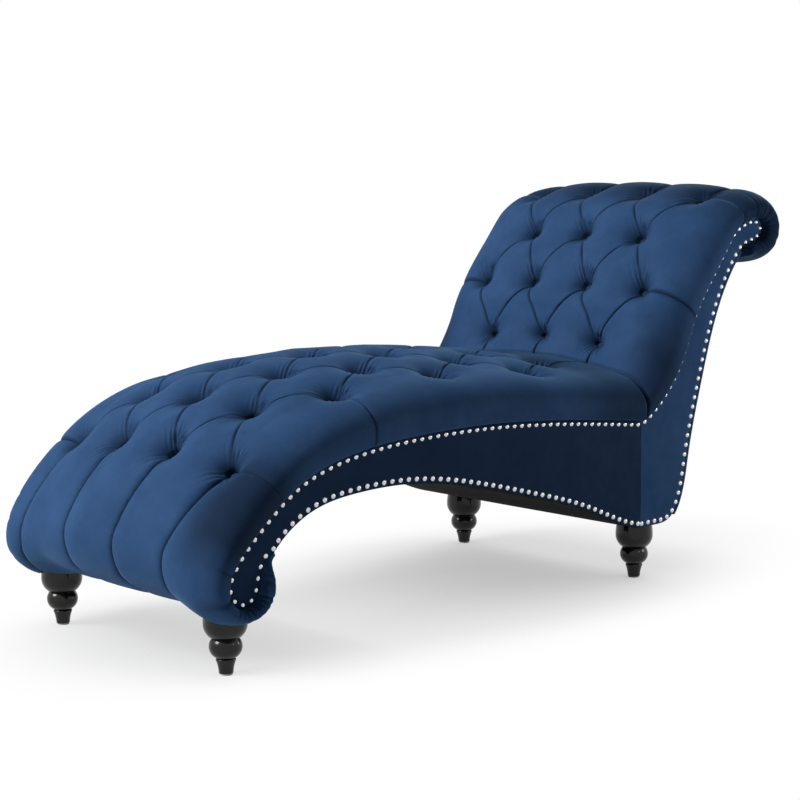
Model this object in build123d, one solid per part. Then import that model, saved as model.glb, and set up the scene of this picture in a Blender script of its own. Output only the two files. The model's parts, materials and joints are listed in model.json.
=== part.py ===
from build123d import *
from math import asin, cos, radians, sin
import os

os.makedirs("parts", exist_ok=True)

# Tufted chaise longue with a scrolled foot and a rolled back.
# Millimetres. The floor is Z = 0, the foot end is at -Y, the head end at +Y, the sitter's left is +X.

# Stance and frame
LEG_HEIGHT = 116.0
LEG_SPREAD = 494.0
FOOT_LEG_Y = -679.5
HEAD_LEG_Y = 380.5
FRAME_WIDTH = 596.0
BOARD_T = 18.0
SIDE_COVER_T = 2.0
WEBBING_T = 2.0
HESSIAN_T = 1.0
SEAM_Y = 335.5
UNIT_GAP = 0.4
SOFT_GAP = 0.3

# Padding section, across the width
PAD_BASE_INSET = 1.0
SIDE_BULGE = 23.0
BULGE_SHARE = 0.36
SEAT_SHOULDER_SHARE = 0.77
BACK_SHOULDER_SHARE = 0.91
SHOULDER_X = 225.0
KNEE_REACH = 0.72
CHEEK_RISE = 0.53
CHEEK_REACH = 0.78
TUFT_LAYER = 58.0
TUFT_LAYER_SIDE = 16.0

# Buttons and pleats
BUTTON_PITCH = 150.0
BUTTON_R = 11.0
BUTTON_H = 7.0
TUFT_DEPTH = 38.0
TUFT_MOUTH_R = 42.0
TUFT_FLOOR_R = 12.0
PLEAT_DEPTH = 8.0
PLEAT_HALF_WIDTH = 8.0
PLEAT_RISE = 12.0
PLEAT_START = 22.0
PLEAT_REACH = 90.0
ROLL_PLEAT_W = 7.0
ROLL_PLEAT_STATIONS = slice(4, 8)

# Seat outline above the leg tops: (y, z, padding, lean of the padding in degrees),
# from under the foot scroll, round its front and along the top to the seam.
SEAT_EDGE = [
    (-613.5, 91.0, 10.0, 0.0),
    (-643.0, 44.0, 31.0, 0.0),
    (-654.0, 15.0, 30.0, 0.0),
    (-680.0, 4.0, 28.0, 0.0),
    (-706.0, 15.0, 42.0, 0.0),
    (-717.0, 42.0, 72.0, 0.0),
    (-696.0, 88.5, 90.0, 0.0),
    (-645.5, 139.0, 103.0, 0.0),
    (-560.5, 201.0, 110.0, 0.0),
    (-447.0, 237.5, 121.0, 0.0),
    (-245.5, 256.0, 126.0, 0.0),
    (-66.5, 255.0, 121.0, 0.0),
    (114.5, 242.0, 116.0, 4.0),
    (SEAM_Y - UNIT_GAP, 218.0, 114.0, 13.0),
]
# Underside of the seat, from the foot scroll over the arch to the seam.
SEAT_ARCH = [
    (-577.5, 123.5),
    (-531.5, 148.7),
    (-424.0, 169.0),
    (-269.0, 167.0),
    (-125.0, 141.0),
    (30.0, 101.0),
    (185.0, 53.0),
    (294.0, 10.0),
    (SEAM_Y - UNIT_GAP, 0.0),
]
# Back outline: up the front edge, over the top roll and round its tip to the underside.
BACK_EDGE = [
    (SEAM_Y + UNIT_GAP, 218.0, 114.0, -27.0),
    (393.0, 256.5, 126.0, -24.0),
    (453.0, 329.5, 127.0, -23.0),
    (502.0, 429.0, 112.0, -14.0),
    (550.0, 494.0, 106.0, -9.0),
    (600.0, 556.5, 102.0, -9.0),
    (630.0, 588.5, 86.0, -6.0),
    (668.0, 606.0, 75.0, -2.0),
    (690.0, 611.0, 70.0, 0.0),
    (716.0, 605.0, 68.0, 0.0),
    (727.0, 588.0, 68.0, 0.0),
    (716.0, 568.0, 60.0, 0.0),
    (686.5, 556.5, 40.0, 0.0),
    (656.0, 545.0, 25.0, 0.0),
]
# Rear edge of the back, from the roll's underside down to the heel.
BACK_REAR = [
    (620.0, 504.0),
    (575.0, 427.0),
    (524.5, 287.0),
    (482.5, 133.5),
    (464.5, 57.0),
    (440.0, 15.0),
    (400.0, 0.0),
]
# Button rows, as distances along the seat and back edges; rows of four and three alternate.
SEAT_ROWS = (356.0, 462.0, 580.0, 700.0, 818.0, 936.0, 1056.0, 1180.0)
BACK_ROWS = (62.0, 252.0, 374.0, 498.0)
SEAT_ROW_COUNTS = (4, 3)
BACK_ROW_COUNTS = (3, 4)
SEAT_FOAM_START = 205.0
BACK_FOAM_END = 545.0
FOAM_END_GAP = 12.0

# Rails
RAIL_T = 25.0
LEG_RAIL_W = 46.0
LEG_RAIL_H = 40.0
LEG_RAIL_CHAMFER = 12.0
CROSS_RAIL_H = 40.0
CROSS_RAILS = [(-430.0, 179.0), (-60.0, 165.0)]
SEAM_RAIL_Z = 45.0
SEAM_RAIL_H = 150.0
BACK_RAILS = [("lumbar", 436.0, 250.0), ("middle", 540.0, 425.0), ("top", 676.0, 572.0)]
BACK_RAIL_W = 24.0
BACK_RAIL_H = 28.0

# Webbing
STRAP_W = 60.0
SEAT_STRAP_FIRST = 425.0
SEAT_STRAP_STEP = 94.0
SEAT_STRAPS = 9
BACK_STRAP_FIRST = 50.0
BACK_STRAP_STEP = 88.0
BACK_STRAPS = 5
SKIN_END = 370.0
BACK_SKIN_START = 470.0
HESSIAN_END_GAP = 3.0

# Outside back and dust covers
BACK_BOARD_T = 3.0
OUTSIDE_COVER_T = 2.0
DUST_T = 1.0
DUST_INSET = 6.0
OUTSIDE_END = 45.0

# Nail trim
NAIL_R = 6.0
NAIL_H = 3.2
NAIL_PITCH = 20.0
NAIL_INSET = 8.0
HEEL_NAILS = 3

# Turned legs
GLIDE_T = 3.0
GLIDE_R = 11.0
GLIDE_PIN_R = 2.0
GLIDE_PIN_L = 12.0
TOE_R = 12.5
TOE_TOP_R = 17.2
TOE_TOP_Z = 25.0
TOE_NECK_R = 15.5
TOE_NECK_Z = 29.0
BALL_R = 28.5
BALL_Z = 46.0
BALL_NECK_R = 23.5
BALL_NECK_Z = 63.0
BOWL_R = 38.0
BOWL_Z = 91.0
BOWL_TOP_R = 34.5
TOE_SWELL = 1.4
TOE_LIP = 2.0
BOWL_KNEE_R = 34.2
BOWL_KNEE_RISE = 11.0
BOWL_EASE = 0.8
BOWL_EASE_RISE = 12.0

# Fixings
BOLT_R = 4.0
BOLT_IN_LEG = 40.0
TEE_FLANGE_R = 11.0
TEE_FLANGE_T = 1.6
TEE_BARREL_R = 5.2
TEE_BARREL_L = 10.0
FIT_GAP = 0.1
JOIN_X = 180.0
JOIN_Z = (80.0, 140.0)
WASHER_R = 10.0
WASHER_T = 2.0
HEX_R = 7.5
HEX_T = 5.3

# Values worked out from the sizes above
HALF_FRAME = FRAME_WIDTH / 2
HALF_INNER = HALF_FRAME - BOARD_T
HALF_LEG = LEG_SPREAD / 2
DECK = WEBBING_T + HESSIAN_T
SAMPLE = 14.0
LEAST_SAMPLES = 4
SECTION_STEP = 32.0


def spot(y, z):
    """A point of the side outline; z counts from the leg tops."""
    return Vector(0, y, z + LEG_HEIGHT)


def outward(tangent):
    """The normal on the left of a curve in the side plane, which points out of the frame."""
    return Vector(0, -tangent.Z, tangent.Y)


def place(curve, distance):
    """Point and outward normal at a distance along a curve."""
    point = curve.position_at(distance, position_mode=PositionMode.LENGTH)
    tangent = curve.tangent_at(distance, position_mode=PositionMode.LENGTH)
    return point, outward(tangent)


def offset_points(curve, start, end, amount):
    """Points along a stretch of a curve, moved out by an amount."""
    count = max(LEAST_SAMPLES, round((end - start) / SAMPLE))
    points = []
    for i in range(count + 1):
        point, normal = place(curve, start + (end - start) * i / count)
        points.append(point + normal * amount)
    return points


def band(curve, start, end, inner, outer):
    """A thin face that follows a stretch of a curve, between two offsets from it."""
    low = offset_points(curve, start, end, inner)
    high = offset_points(curve, start, end, outer)
    edges = [Spline(*low), Line(low[-1], high[-1]), Spline(*high), Line(high[0], low[0])]
    return make_face(edges)


def across(face, low_x, high_x):
    """Extrude a side-plane face from one X to another."""
    return Pos(low_x, 0, 0) * extrude(face, amount=high_x - low_x, dir=(1, 0, 0))


def box_between(low, high):
    """A box from its lowest to its highest corner."""
    size = [b - a for a, b in zip(low, high)]
    middle = [(a + b) / 2 for a, b in zip(low, high)]
    return Pos(*middle) * Box(*size)


def rod(start, axis, radius, length):
    """A cylinder from a point along an axis."""
    disc = Plane(origin=start, z_dir=axis) * Circle(radius)
    return extrude(disc, amount=length)


def save(name, shape):
    """Write one node as its solids."""
    solids = shape if isinstance(shape, list) else [shape]
    found = [solid for item in solids for solid in item.solids()]
    export_step(found[0] if len(found) == 1 else Compound(children=found), f"parts/{name}.step")


# Side outlines as curves
seat_edge = Spline(*[spot(y, z) for y, z, pad, lean in SEAT_EDGE])
seat_arch = Spline(spot(*SEAT_EDGE[0][:2]), *[spot(*p) for p in SEAT_ARCH])
back_edge = Spline(*[spot(y, z) for y, z, pad, lean in BACK_EDGE])
back_rear = Spline(spot(*BACK_EDGE[-1][:2]), *[spot(*p) for p in BACK_REAR])
seat_heel = spot(*SEAT_ARCH[-1])
seat_seam = spot(*SEAT_EDGE[-1][:2])
back_heel = spot(*BACK_REAR[-1])
back_toe = spot(SEAM_Y + UNIT_GAP, 0.0)
back_seam = spot(*BACK_EDGE[0][:2])


def seat_face():
    return make_face([seat_edge, Line(seat_seam, seat_heel), seat_arch])


def back_face():
    return make_face([back_edge, back_rear, Line(back_heel, back_toe), Line(back_toe, back_seam)])


# Padding: a crowned section carried along an edge
class Padding:
    """The padded face of one unit: an edge, and the padding that stands on it."""

    def __init__(self, edge, outline, shoulder_share):
        self.edge = edge
        self.shoulder_share = shoulder_share
        self.stations = []
        for y, z, pad, lean in outline:
            share = edge.param_at_point(spot(y, z))
            distance = edge.trim(0.0, share).length if share > 0 else 0.0
            self.stations.append((distance, pad, lean))

    def eased(self, distance, column):
        """Padding or lean at a distance, carried smoothly between the outline points."""
        spots = [(station[0], station[column]) for station in self.stations]
        last = len(spots) - 1
        i = max(k for k in range(last) if k == 0 or spots[k][0] <= distance)

        def slope(k):
            low, high = spots[max(k - 1, 0)], spots[min(k + 1, last)]
            return (high[1] - low[1]) / (high[0] - low[0])

        (d0, v0), (d1, v1) = spots[i], spots[i + 1]
        t = (distance - d0) / (d1 - d0)
        pull = slope(i) * t * (1 - t) ** 2 - slope(i + 1) * t * t * (1 - t)
        return v0 + (v1 - v0) * t * t * (3 - 2 * t) + pull * (d1 - d0)

    def frame(self, distance):
        """Base point, direction and full height of the padding at a distance along the edge."""
        turn = radians(self.eased(distance, 2))
        point, normal = place(self.edge, distance)
        y = normal.Y * cos(turn) - normal.Z * sin(turn)
        z = normal.Y * sin(turn) + normal.Z * cos(turn)
        return point, Vector(0, y, z), DECK + self.eased(distance, 1)

    def section(self, distance, layer, side):
        """The closed crowned section, drawn in by a layer on top and at each side."""
        point, direction, full = self.frame(distance)
        height = full - layer
        base = HALF_FRAME - PAD_BASE_INSET - side
        bulge = base + SIDE_BULGE
        shoulder = SHOULDER_X - side

        def at(x, share):
            return point + Vector(x, 0, 0) + direction * (height * share)

        knee = (BULGE_SHARE / 2, base + SIDE_BULGE * KNEE_REACH)
        top = self.shoulder_share
        cheek_share = (BULGE_SHARE + top) * CHEEK_RISE
        cheek = (cheek_share, shoulder + (bulge - shoulder) * CHEEK_REACH)
        corners = [(base, 0), (bulge, BULGE_SHARE), (shoulder, top)]
        mids = [(knee[1], knee[0]), (cheek[1], cheek[0])]
        edges = [Line(at(-base, 0), at(base, 0))]
        for (x0, s0), (xm, sm), (x1, s1) in zip(corners[:-1], mids, corners[1:]):
            edges.append(ThreePointArc(at(x0, s0), at(xm, sm), at(x1, s1)))
        edges.append(ThreePointArc(at(shoulder, top), at(0, 1), at(-shoulder, top)))
        for (x0, s0), (xm, sm), (x1, s1) in reversed(list(zip(corners[:-1], mids, corners[1:]))):
            edges.append(ThreePointArc(at(-x1, s1), at(-xm, sm), at(-x0, s0)))
        return Wire(edges)

    def body(self, layer=0.0, side=0.0, start=0.0, end=None):
        """The padding as one loft through evenly spaced sections."""
        end = self.edge.length if end is None else end
        steps = round((end - start) / SECTION_STEP)
        stretch = (end - start) / steps
        return Solid.make_loft([self.section(start + i * stretch, layer, side) for i in range(steps + 1)])

    def surface(self, x, distance):
        """Point on the crowned face, and the direction out of it."""
        point, direction, height = self.frame(distance)
        drop = (1 - self.shoulder_share) * (x / SHOULDER_X) ** 2
        return point + Vector(x, 0, 0) + direction * (height * (1 - drop)), direction


def dome(radius, height):
    """A spherical cap on the plane Z = 0, with its apex up."""
    ball_r = (radius ** 2 + height ** 2) / (2 * height)
    half_turn = asin(radius / ball_r) / 2
    shoulder = (ball_r * sin(half_turn), height - ball_r * (1 - cos(half_turn)))
    profile = make_face([
        Line((0, 0), (radius, 0)),
        ThreePointArc((radius, 0), shoulder, (0, height)),
        Line((0, height), (0, 0)),
    ])
    return revolve(Plane.XZ * profile, Axis.Z)


def row_places(count):
    """X places of one row of buttons."""
    return [(i - (count - 1) / 2) * BUTTON_PITCH for i in range(count)]


def button_grid(padding, rows, counts):
    """Rows of (x, point, direction); the two counts take turns."""
    grid = []
    for i, distance in enumerate(rows):
        places = row_places(counts[i % len(counts)])
        grid.append([(x, *padding.surface(x, distance)) for x in places])
    return grid


def dimple(point, direction):
    """The funnel that one button pulls into the padding."""
    slope = (TUFT_MOUTH_R - TUFT_FLOOR_R) / TUFT_DEPTH
    floor = point - direction * TUFT_DEPTH
    top_r = TUFT_MOUTH_R + slope * PLEAT_RISE
    return Solid.make_cone(TUFT_FLOOR_R, top_r, TUFT_DEPTH + PLEAT_RISE, Plane(floor, z_dir=direction))


def pleat(start, end, up):
    """A V-shaped fold between two buttons."""
    chord = (end - start).normalized()
    length = (end - start).length - 2 * PLEAT_START
    plane = Plane(start + chord * PLEAT_START, x_dir=up.cross(chord), z_dir=chord)
    wide = PLEAT_HALF_WIDTH * (PLEAT_DEPTH + PLEAT_RISE) / PLEAT_DEPTH
    outline = Polyline((0, -PLEAT_DEPTH), (wide, PLEAT_RISE), (-wide, PLEAT_RISE), close=True)
    return extrude(plane * make_face(outline), amount=length)


def tuft_tools(grid):
    """All dimples and diagonal folds of one padded face."""
    tools = []
    for row in grid:
        for x, point, direction in row:
            tools.append(dimple(point, direction))
    for row, following in zip(grid[:-1], grid[1:]):
        for x, point, direction in row:
            for x2, point2, direction2 in following:
                if abs(x - x2) < PLEAT_REACH:
                    tools.append(pleat(point, point2, (direction + direction2).normalized()))
    return tools


def buttons(grid):
    """Covered buttons, seated on the floors of their dimples."""
    made = []
    for row in grid:
        for x, point, direction in row:
            made.append(Plane(point - direction * TUFT_DEPTH, z_dir=direction) * dome(BUTTON_R, BUTTON_H))
    return made


def roll_pleats(padding, row):
    """Long folds that run from the first button row down over the foot roll."""
    made = []
    places = [d for d, pad, lean in padding.stations[ROLL_PLEAT_STATIONS]] + [SEAT_ROWS[0] - PLEAT_START]
    for x, point, direction in row:
        low = []
        high = []
        for distance in places:
            skin, out = padding.surface(x, distance)
            low.append(skin - out * PLEAT_DEPTH)
            high.append(skin + out * PLEAT_RISE)
        edges = [Spline(*low), Line(low[-1], high[-1]), Spline(*high), Line(high[0], low[0])]
        fold = make_face(edges)
        made.append(Pos(-ROLL_PLEAT_W / 2, 0, 0) * extrude(fold, amount=ROLL_PLEAT_W, dir=(1, 0, 0)))
    return made


def core(edge, lower):
    """All that lies under a unit's hessian: the space that the padding keeps clear of."""
    points = offset_points(edge, 0, edge.length, DECK + SOFT_GAP)
    edges = [Spline(*points), *lower, Line(edge @ 0, points[0])]
    edges.insert(1, Line(points[-1], lower[0] @ 0))
    reach = HALF_FRAME + SIDE_BULGE * 2
    return across(make_face(edges), -reach, reach)


def padded_cover(padding, core_solid, tools, foam_start, foam_end):
    """The tufted velvet with its wadding, hollow where the foam lies, and the foam inside it."""
    foam = padding.body(TUFT_LAYER, TUFT_LAYER_SIDE, foam_start, foam_end) - core_solid
    layer = TUFT_LAYER - SOFT_GAP
    side = TUFT_LAYER_SIDE - SOFT_GAP
    hollow = padding.body(layer, side, foam_start - SOFT_GAP, foam_end + SOFT_GAP)
    cover = padding.body() - [core_solid, hollow] - tools
    return cover, foam


# Nail trim along the side panels
def nail_row(curve, inset, start, end):
    """Evenly spaced nail places along a stretch of an outline, inset from it."""
    line = Spline(*offset_points(curve, start, end, inset))
    count = round(line.length / NAIL_PITCH)
    return [line @ (i / count) for i in range(count + 1)]


def side_panel(unit, face, places):
    """Frame board, velvet side cover and nail trim on both sides of a unit."""
    nail = dome(NAIL_R, NAIL_H)
    face_x = HALF_FRAME + SIDE_COVER_T
    for side, sign in (("left", 1), ("right", -1)):
        axis = (sign, 0, 0)
        save(f"{unit}_board_{side}", across(face, *sorted((sign * HALF_INNER, sign * HALF_FRAME))))
        save(f"{unit}_side_cover_{side}", across(face, *sorted((sign * HALF_FRAME, sign * face_x))))
        nails = [Plane((sign * face_x, p.Y, p.Z), z_dir=axis) * nail for p in places]
        save(f"{unit}_nails_{side}", nails)


seat_places = nail_row(seat_edge, -NAIL_INSET, 0, seat_edge.length - NAIL_INSET)
seat_places += nail_row(seat_arch, NAIL_INSET, NAIL_PITCH, seat_arch.length - NAIL_INSET)
back_places = nail_row(back_edge, -NAIL_INSET, NAIL_INSET, back_edge.length)
back_places += nail_row(back_rear, -NAIL_INSET, NAIL_PITCH, back_rear.length)
back_places += [Vector(0, back_heel.Y - (i + 1) * NAIL_PITCH, back_heel.Z + NAIL_INSET)
                for i in range(HEEL_NAILS)]
side_panel("seat", seat_face(), seat_places)
side_panel("back", back_face(), back_places)


# Rails between the boards
def bolt_hole(x, y):
    """Clearance for a leg bolt and its tee nut, through a leg rail."""
    bore = rod((x, y, LEG_HEIGHT), (0, 0, 1), BOLT_R + FIT_GAP, LEG_RAIL_H)
    top = LEG_HEIGHT + LEG_RAIL_H
    seat = rod((x, y, top), (0, 0, -1), TEE_BARREL_R + FIT_GAP, TEE_BARREL_L + FIT_GAP)
    return [bore, seat]


def leg_rail(middle_y, grow=0.0):
    """Chamfered rail that carries a pair of legs."""
    low = middle_y - LEG_RAIL_W / 2 - grow
    high = middle_y + LEG_RAIL_W / 2 + grow
    chamfer = LEG_RAIL_CHAMFER
    corners = [(low, chamfer), (low + chamfer, -grow), (high - chamfer, -grow), (high, chamfer)]
    corners += [(high, LEG_RAIL_H + grow), (low, LEG_RAIL_H + grow)]
    outline = Polyline(*[spot(*c) for c in corners], close=True)
    return across(make_face(outline), -HALF_INNER - grow, HALF_INNER + grow)


leg_spots = [
    ("foot_leg_left", HALF_LEG, FOOT_LEG_Y),
    ("foot_leg_right", -HALF_LEG, FOOT_LEG_Y),
    ("head_leg_left", HALF_LEG, HEAD_LEG_Y),
    ("head_leg_right", -HALF_LEG, HEAD_LEG_Y),
]
for name, middle_y in (("foot_leg_rail", FOOT_LEG_Y), ("head_leg_rail", HEAD_LEG_Y)):
    holes = [h for leg, x, y in leg_spots if y == middle_y for h in bolt_hole(x, y)]
    save(name, leg_rail(middle_y) - holes)

for name, (middle_y, low_z) in zip(("seat_cross_rail_foot", "seat_cross_rail_middle"), CROSS_RAILS):
    low = (-HALF_INNER, middle_y - RAIL_T / 2, LEG_HEIGHT + low_z)
    save(name, box_between(low, (HALF_INNER, middle_y + RAIL_T / 2, LEG_HEIGHT + low_z + CROSS_RAIL_H)))

for name, middle_y, low_z in BACK_RAILS:
    low = (-HALF_INNER, middle_y - BACK_RAIL_W / 2, LEG_HEIGHT + low_z)
    high = (HALF_INNER, middle_y + BACK_RAIL_W / 2, LEG_HEIGHT + low_z + BACK_RAIL_H)
    save(f"back_{name}_rail", box_between(low, high))

# The two rails at the seam, and the bolts that draw the back unit to the seat unit
seat_rail_y = SEAM_Y - UNIT_GAP - RAIL_T
back_rail_y = SEAM_Y + UNIT_GAP
join_spots = [(x, LEG_HEIGHT + z) for x in (-JOIN_X, JOIN_X) for z in JOIN_Z]
join_bores = [rod((x, seat_rail_y - RAIL_T, z), (0, 1, 0), BOLT_R + FIT_GAP, 4 * RAIL_T)
              for x, z in join_spots]
join_seats = [rod((x, seat_rail_y, z), (0, 1, 0), TEE_BARREL_R + FIT_GAP, TEE_BARREL_L + FIT_GAP)
              for x, z in join_spots]
for name, low_y, cuts in (
    ("seat_seam_rail", seat_rail_y, join_bores + join_seats),
    ("back_seam_rail", back_rail_y, join_bores),
):
    low = (-HALF_INNER, low_y, LEG_HEIGHT + SEAM_RAIL_Z)
    high = (HALF_INNER, low_y + RAIL_T, LEG_HEIGHT + SEAM_RAIL_Z + SEAM_RAIL_H)
    save(name, box_between(low, high) - cuts)


def tee_nut(origin, axis):
    """Flanged nut: the barrel points along the axis, into the rail."""
    back = Vector(axis) * -TEE_FLANGE_T
    body = rod(Vector(origin) + back, axis, TEE_FLANGE_R, TEE_FLANGE_T)
    body += rod(origin, axis, TEE_BARREL_R, TEE_BARREL_L)
    return body - rod(Vector(origin) + back, axis, BOLT_R + FIT_GAP / 2, TEE_BARREL_L + 2 * TEE_FLANGE_T)


def hex_bolt(x, z):
    """Hexagon bolt from the back rail's rear face to the tee nut."""
    head_y = back_rail_y + RAIL_T + WASHER_T
    head = extrude(Plane((x, head_y, z), z_dir=(0, 1, 0)) * RegularPolygon(HEX_R, 6), amount=HEX_T)
    return head + rod((x, head_y, z), (0, -1, 0), BOLT_R, head_y - seat_rail_y + TEE_FLANGE_T)


def washer(x, z):
    origin = (x, back_rail_y + RAIL_T, z)
    return rod(origin, (0, 1, 0), WASHER_R, WASHER_T) - rod(origin, (0, 1, 0), BOLT_R + FIT_GAP, WASHER_T)


save("seam_bolts", [hex_bolt(x, z) for x, z in join_spots])
save("seam_washers", [washer(x, z) for x, z in join_spots])
save("seam_tee_nuts", [tee_nut((x, seat_rail_y, z), (0, 1, 0)) for x, z in join_spots])


# Legs, with their bolts, tee nuts and glides
def turned_leg(x, y):
    """Bowl over ball over tapered toe, turned in one piece."""
    toe_middle = (TOE_R + TOE_SWELL, (GLIDE_T + TOE_TOP_Z) / 2)
    bowl_knee = (BOWL_KNEE_R, BALL_NECK_Z + BOWL_KNEE_RISE)
    bowl_ease = (BOWL_R - BOWL_EASE, BOWL_Z + BOWL_EASE_RISE)
    profile = make_face([
        Line((0, GLIDE_T), (TOE_R, GLIDE_T)),
        ThreePointArc((TOE_R, GLIDE_T), toe_middle, (TOE_TOP_R, TOE_TOP_Z)),
        ThreePointArc((TOE_TOP_R, TOE_TOP_Z), (TOE_TOP_R, TOE_TOP_Z + TOE_LIP), (TOE_NECK_R, TOE_NECK_Z)),
        ThreePointArc((TOE_NECK_R, TOE_NECK_Z), (BALL_R, BALL_Z), (BALL_NECK_R, BALL_NECK_Z)),
        ThreePointArc((BALL_NECK_R, BALL_NECK_Z), bowl_knee, (BOWL_R, BOWL_Z)),
        ThreePointArc((BOWL_R, BOWL_Z), bowl_ease, (BOWL_TOP_R, LEG_HEIGHT)),
        Line((BOWL_TOP_R, LEG_HEIGHT), (0, LEG_HEIGHT)),
        Line((0, LEG_HEIGHT), (0, GLIDE_T)),
    ])
    leg = Pos(x, y, 0) * revolve(Plane.XZ * profile, Axis.Z)
    bolt_bore = rod((x, y, LEG_HEIGHT), (0, 0, -1), BOLT_R + FIT_GAP, BOLT_IN_LEG + FIT_GAP)
    pin_bore = rod((x, y, GLIDE_T), (0, 0, 1), GLIDE_PIN_R + FIT_GAP, GLIDE_PIN_L + FIT_GAP)
    return leg - [bolt_bore, pin_bore]


for name, x, y in leg_spots:
    save(name, turned_leg(x, y))
bolt_length = BOLT_IN_LEG + LEG_RAIL_H + TEE_FLANGE_T
save("leg_bolts", [rod((x, y, LEG_HEIGHT - BOLT_IN_LEG), (0, 0, 1), BOLT_R, bolt_length)
                   for name, x, y in leg_spots])
save("leg_tee_nuts", [tee_nut((x, y, LEG_HEIGHT + LEG_RAIL_H), (0, 0, -1)) for name, x, y in leg_spots])
save("leg_glides", [rod((x, y, 0), (0, 0, 1), GLIDE_R, GLIDE_T) +
                    rod((x, y, GLIDE_T), (0, 0, 1), GLIDE_PIN_R, GLIDE_PIN_L) for name, x, y in leg_spots])

# Webbing straps, hardboard roll skins and hessian, laid over the board edges
foot_rail_room = leg_rail(FOOT_LEG_Y, SOFT_GAP)
leg_room = [rod((x, y, 0), (0, 0, 1), BOWL_R + SOFT_GAP, LEG_HEIGHT) for name, x, y in leg_spots]
strap_x = HALF_FRAME - PAD_BASE_INSET


def straps(edge, first, step, count):
    return [across(band(edge, first + i * step, first + i * step + STRAP_W, FIT_GAP, WEBBING_T),
                   -strap_x, strap_x) for i in range(count)]


def sheet(curve, start, end, inner, outer, half_width):
    return across(band(curve, start, end, inner, outer), -half_width, half_width)


foot_cuts = [foot_rail_room, *leg_room[:2]]
save("seat_webbing", straps(seat_edge, SEAT_STRAP_FIRST, SEAT_STRAP_STEP, SEAT_STRAPS))
save("back_webbing", straps(back_edge, BACK_STRAP_FIRST, BACK_STRAP_STEP, BACK_STRAPS))
save("foot_roll_skin", sheet(seat_edge, HESSIAN_END_GAP, SKIN_END, FIT_GAP, WEBBING_T, strap_x) - foot_cuts)
save("top_roll_skin", sheet(back_edge, BACK_SKIN_START, back_edge.length - HESSIAN_END_GAP,
                            FIT_GAP, WEBBING_T, strap_x))
hessian_low = WEBBING_T + FIT_GAP
save("seat_hessian", sheet(seat_edge, HESSIAN_END_GAP, seat_edge.length - HESSIAN_END_GAP,
                           hessian_low, DECK, strap_x) - foot_cuts)
save("back_hessian", sheet(back_edge, HESSIAN_END_GAP, back_edge.length - HESSIAN_END_GAP,
                           hessian_low, DECK, strap_x))

# Tufted padding
seat_pad = Padding(seat_edge, SEAT_EDGE, SEAT_SHOULDER_SHARE)
back_pad = Padding(back_edge, BACK_EDGE, BACK_SHOULDER_SHARE)
seat_grid = button_grid(seat_pad, SEAT_ROWS, SEAT_ROW_COUNTS)
back_grid = button_grid(back_pad, BACK_ROWS, BACK_ROW_COUNTS)
seat_core = core(seat_edge, [Line(seat_seam, seat_heel), seat_arch])
back_core = core(back_edge, [back_rear, Line(back_heel, back_toe), Line(back_toe, back_seam)])
seat_tools = tuft_tools(seat_grid) + roll_pleats(seat_pad, seat_grid[0]) + foot_cuts
back_tools = tuft_tools(back_grid)
seat_cover, seat_foam = padded_cover(seat_pad, seat_core, seat_tools, SEAT_FOAM_START,
                                     seat_edge.length - FOAM_END_GAP)
back_cover, back_foam = padded_cover(back_pad, back_core, back_tools, FOAM_END_GAP, BACK_FOAM_END)
save("seat_tufted_cover", seat_cover)
save("seat_foam", seat_foam)
save("seat_buttons", buttons(seat_grid))
save("back_tufted_cover", back_cover)
save("back_foam", back_foam)
save("back_buttons", buttons(back_grid))

# Outside back and dust covers
rear_start = HESSIAN_END_GAP
rear_end = back_rear.length - OUTSIDE_END
lining = BACK_BOARD_T + FIT_GAP
save("outside_back_lining", sheet(back_rear, rear_start, rear_end, FIT_GAP, BACK_BOARD_T, HALF_FRAME))
save("outside_back_cover", sheet(back_rear, rear_start, rear_end, lining, lining + OUTSIDE_COVER_T,
                                 HALF_FRAME + SIDE_COVER_T))
dust_x = HALF_FRAME - DUST_INSET
save("seat_dust_cover", sheet(seat_arch, DUST_INSET, seat_arch.length - HESSIAN_END_GAP,
                              -FIT_GAP, -FIT_GAP - DUST_T, dust_x))
dust_low = (-dust_x, back_rail_y + HESSIAN_END_GAP, LEG_HEIGHT - FIT_GAP - DUST_T)
dust_high = (dust_x, back_heel.Y, LEG_HEIGHT - FIT_GAP)
save("back_dust_cover", box_between(dust_low, dust_high) - leg_room[2:])
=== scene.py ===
# %% [markdown]
# # A button-tufted chaise longue
# The chaise is an S-shaped timber frame with thick padding on its upper edges.  Blue velvet is drawn down
# into the padding by rows of covered buttons, flat velvet panels close the sides, and domed nails trim
# every panel.  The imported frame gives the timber, fixings and sizes.  This lesson dresses it: cloth, nails,
# turned legs and light.

# %% Load the frame
import json
from math import cos, pi, radians, sin

import bmesh
import bpy
import numpy as np
from mathutils import Matrix, Vector
from mathutils.geometry import delaunay_2d_cdt


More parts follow.
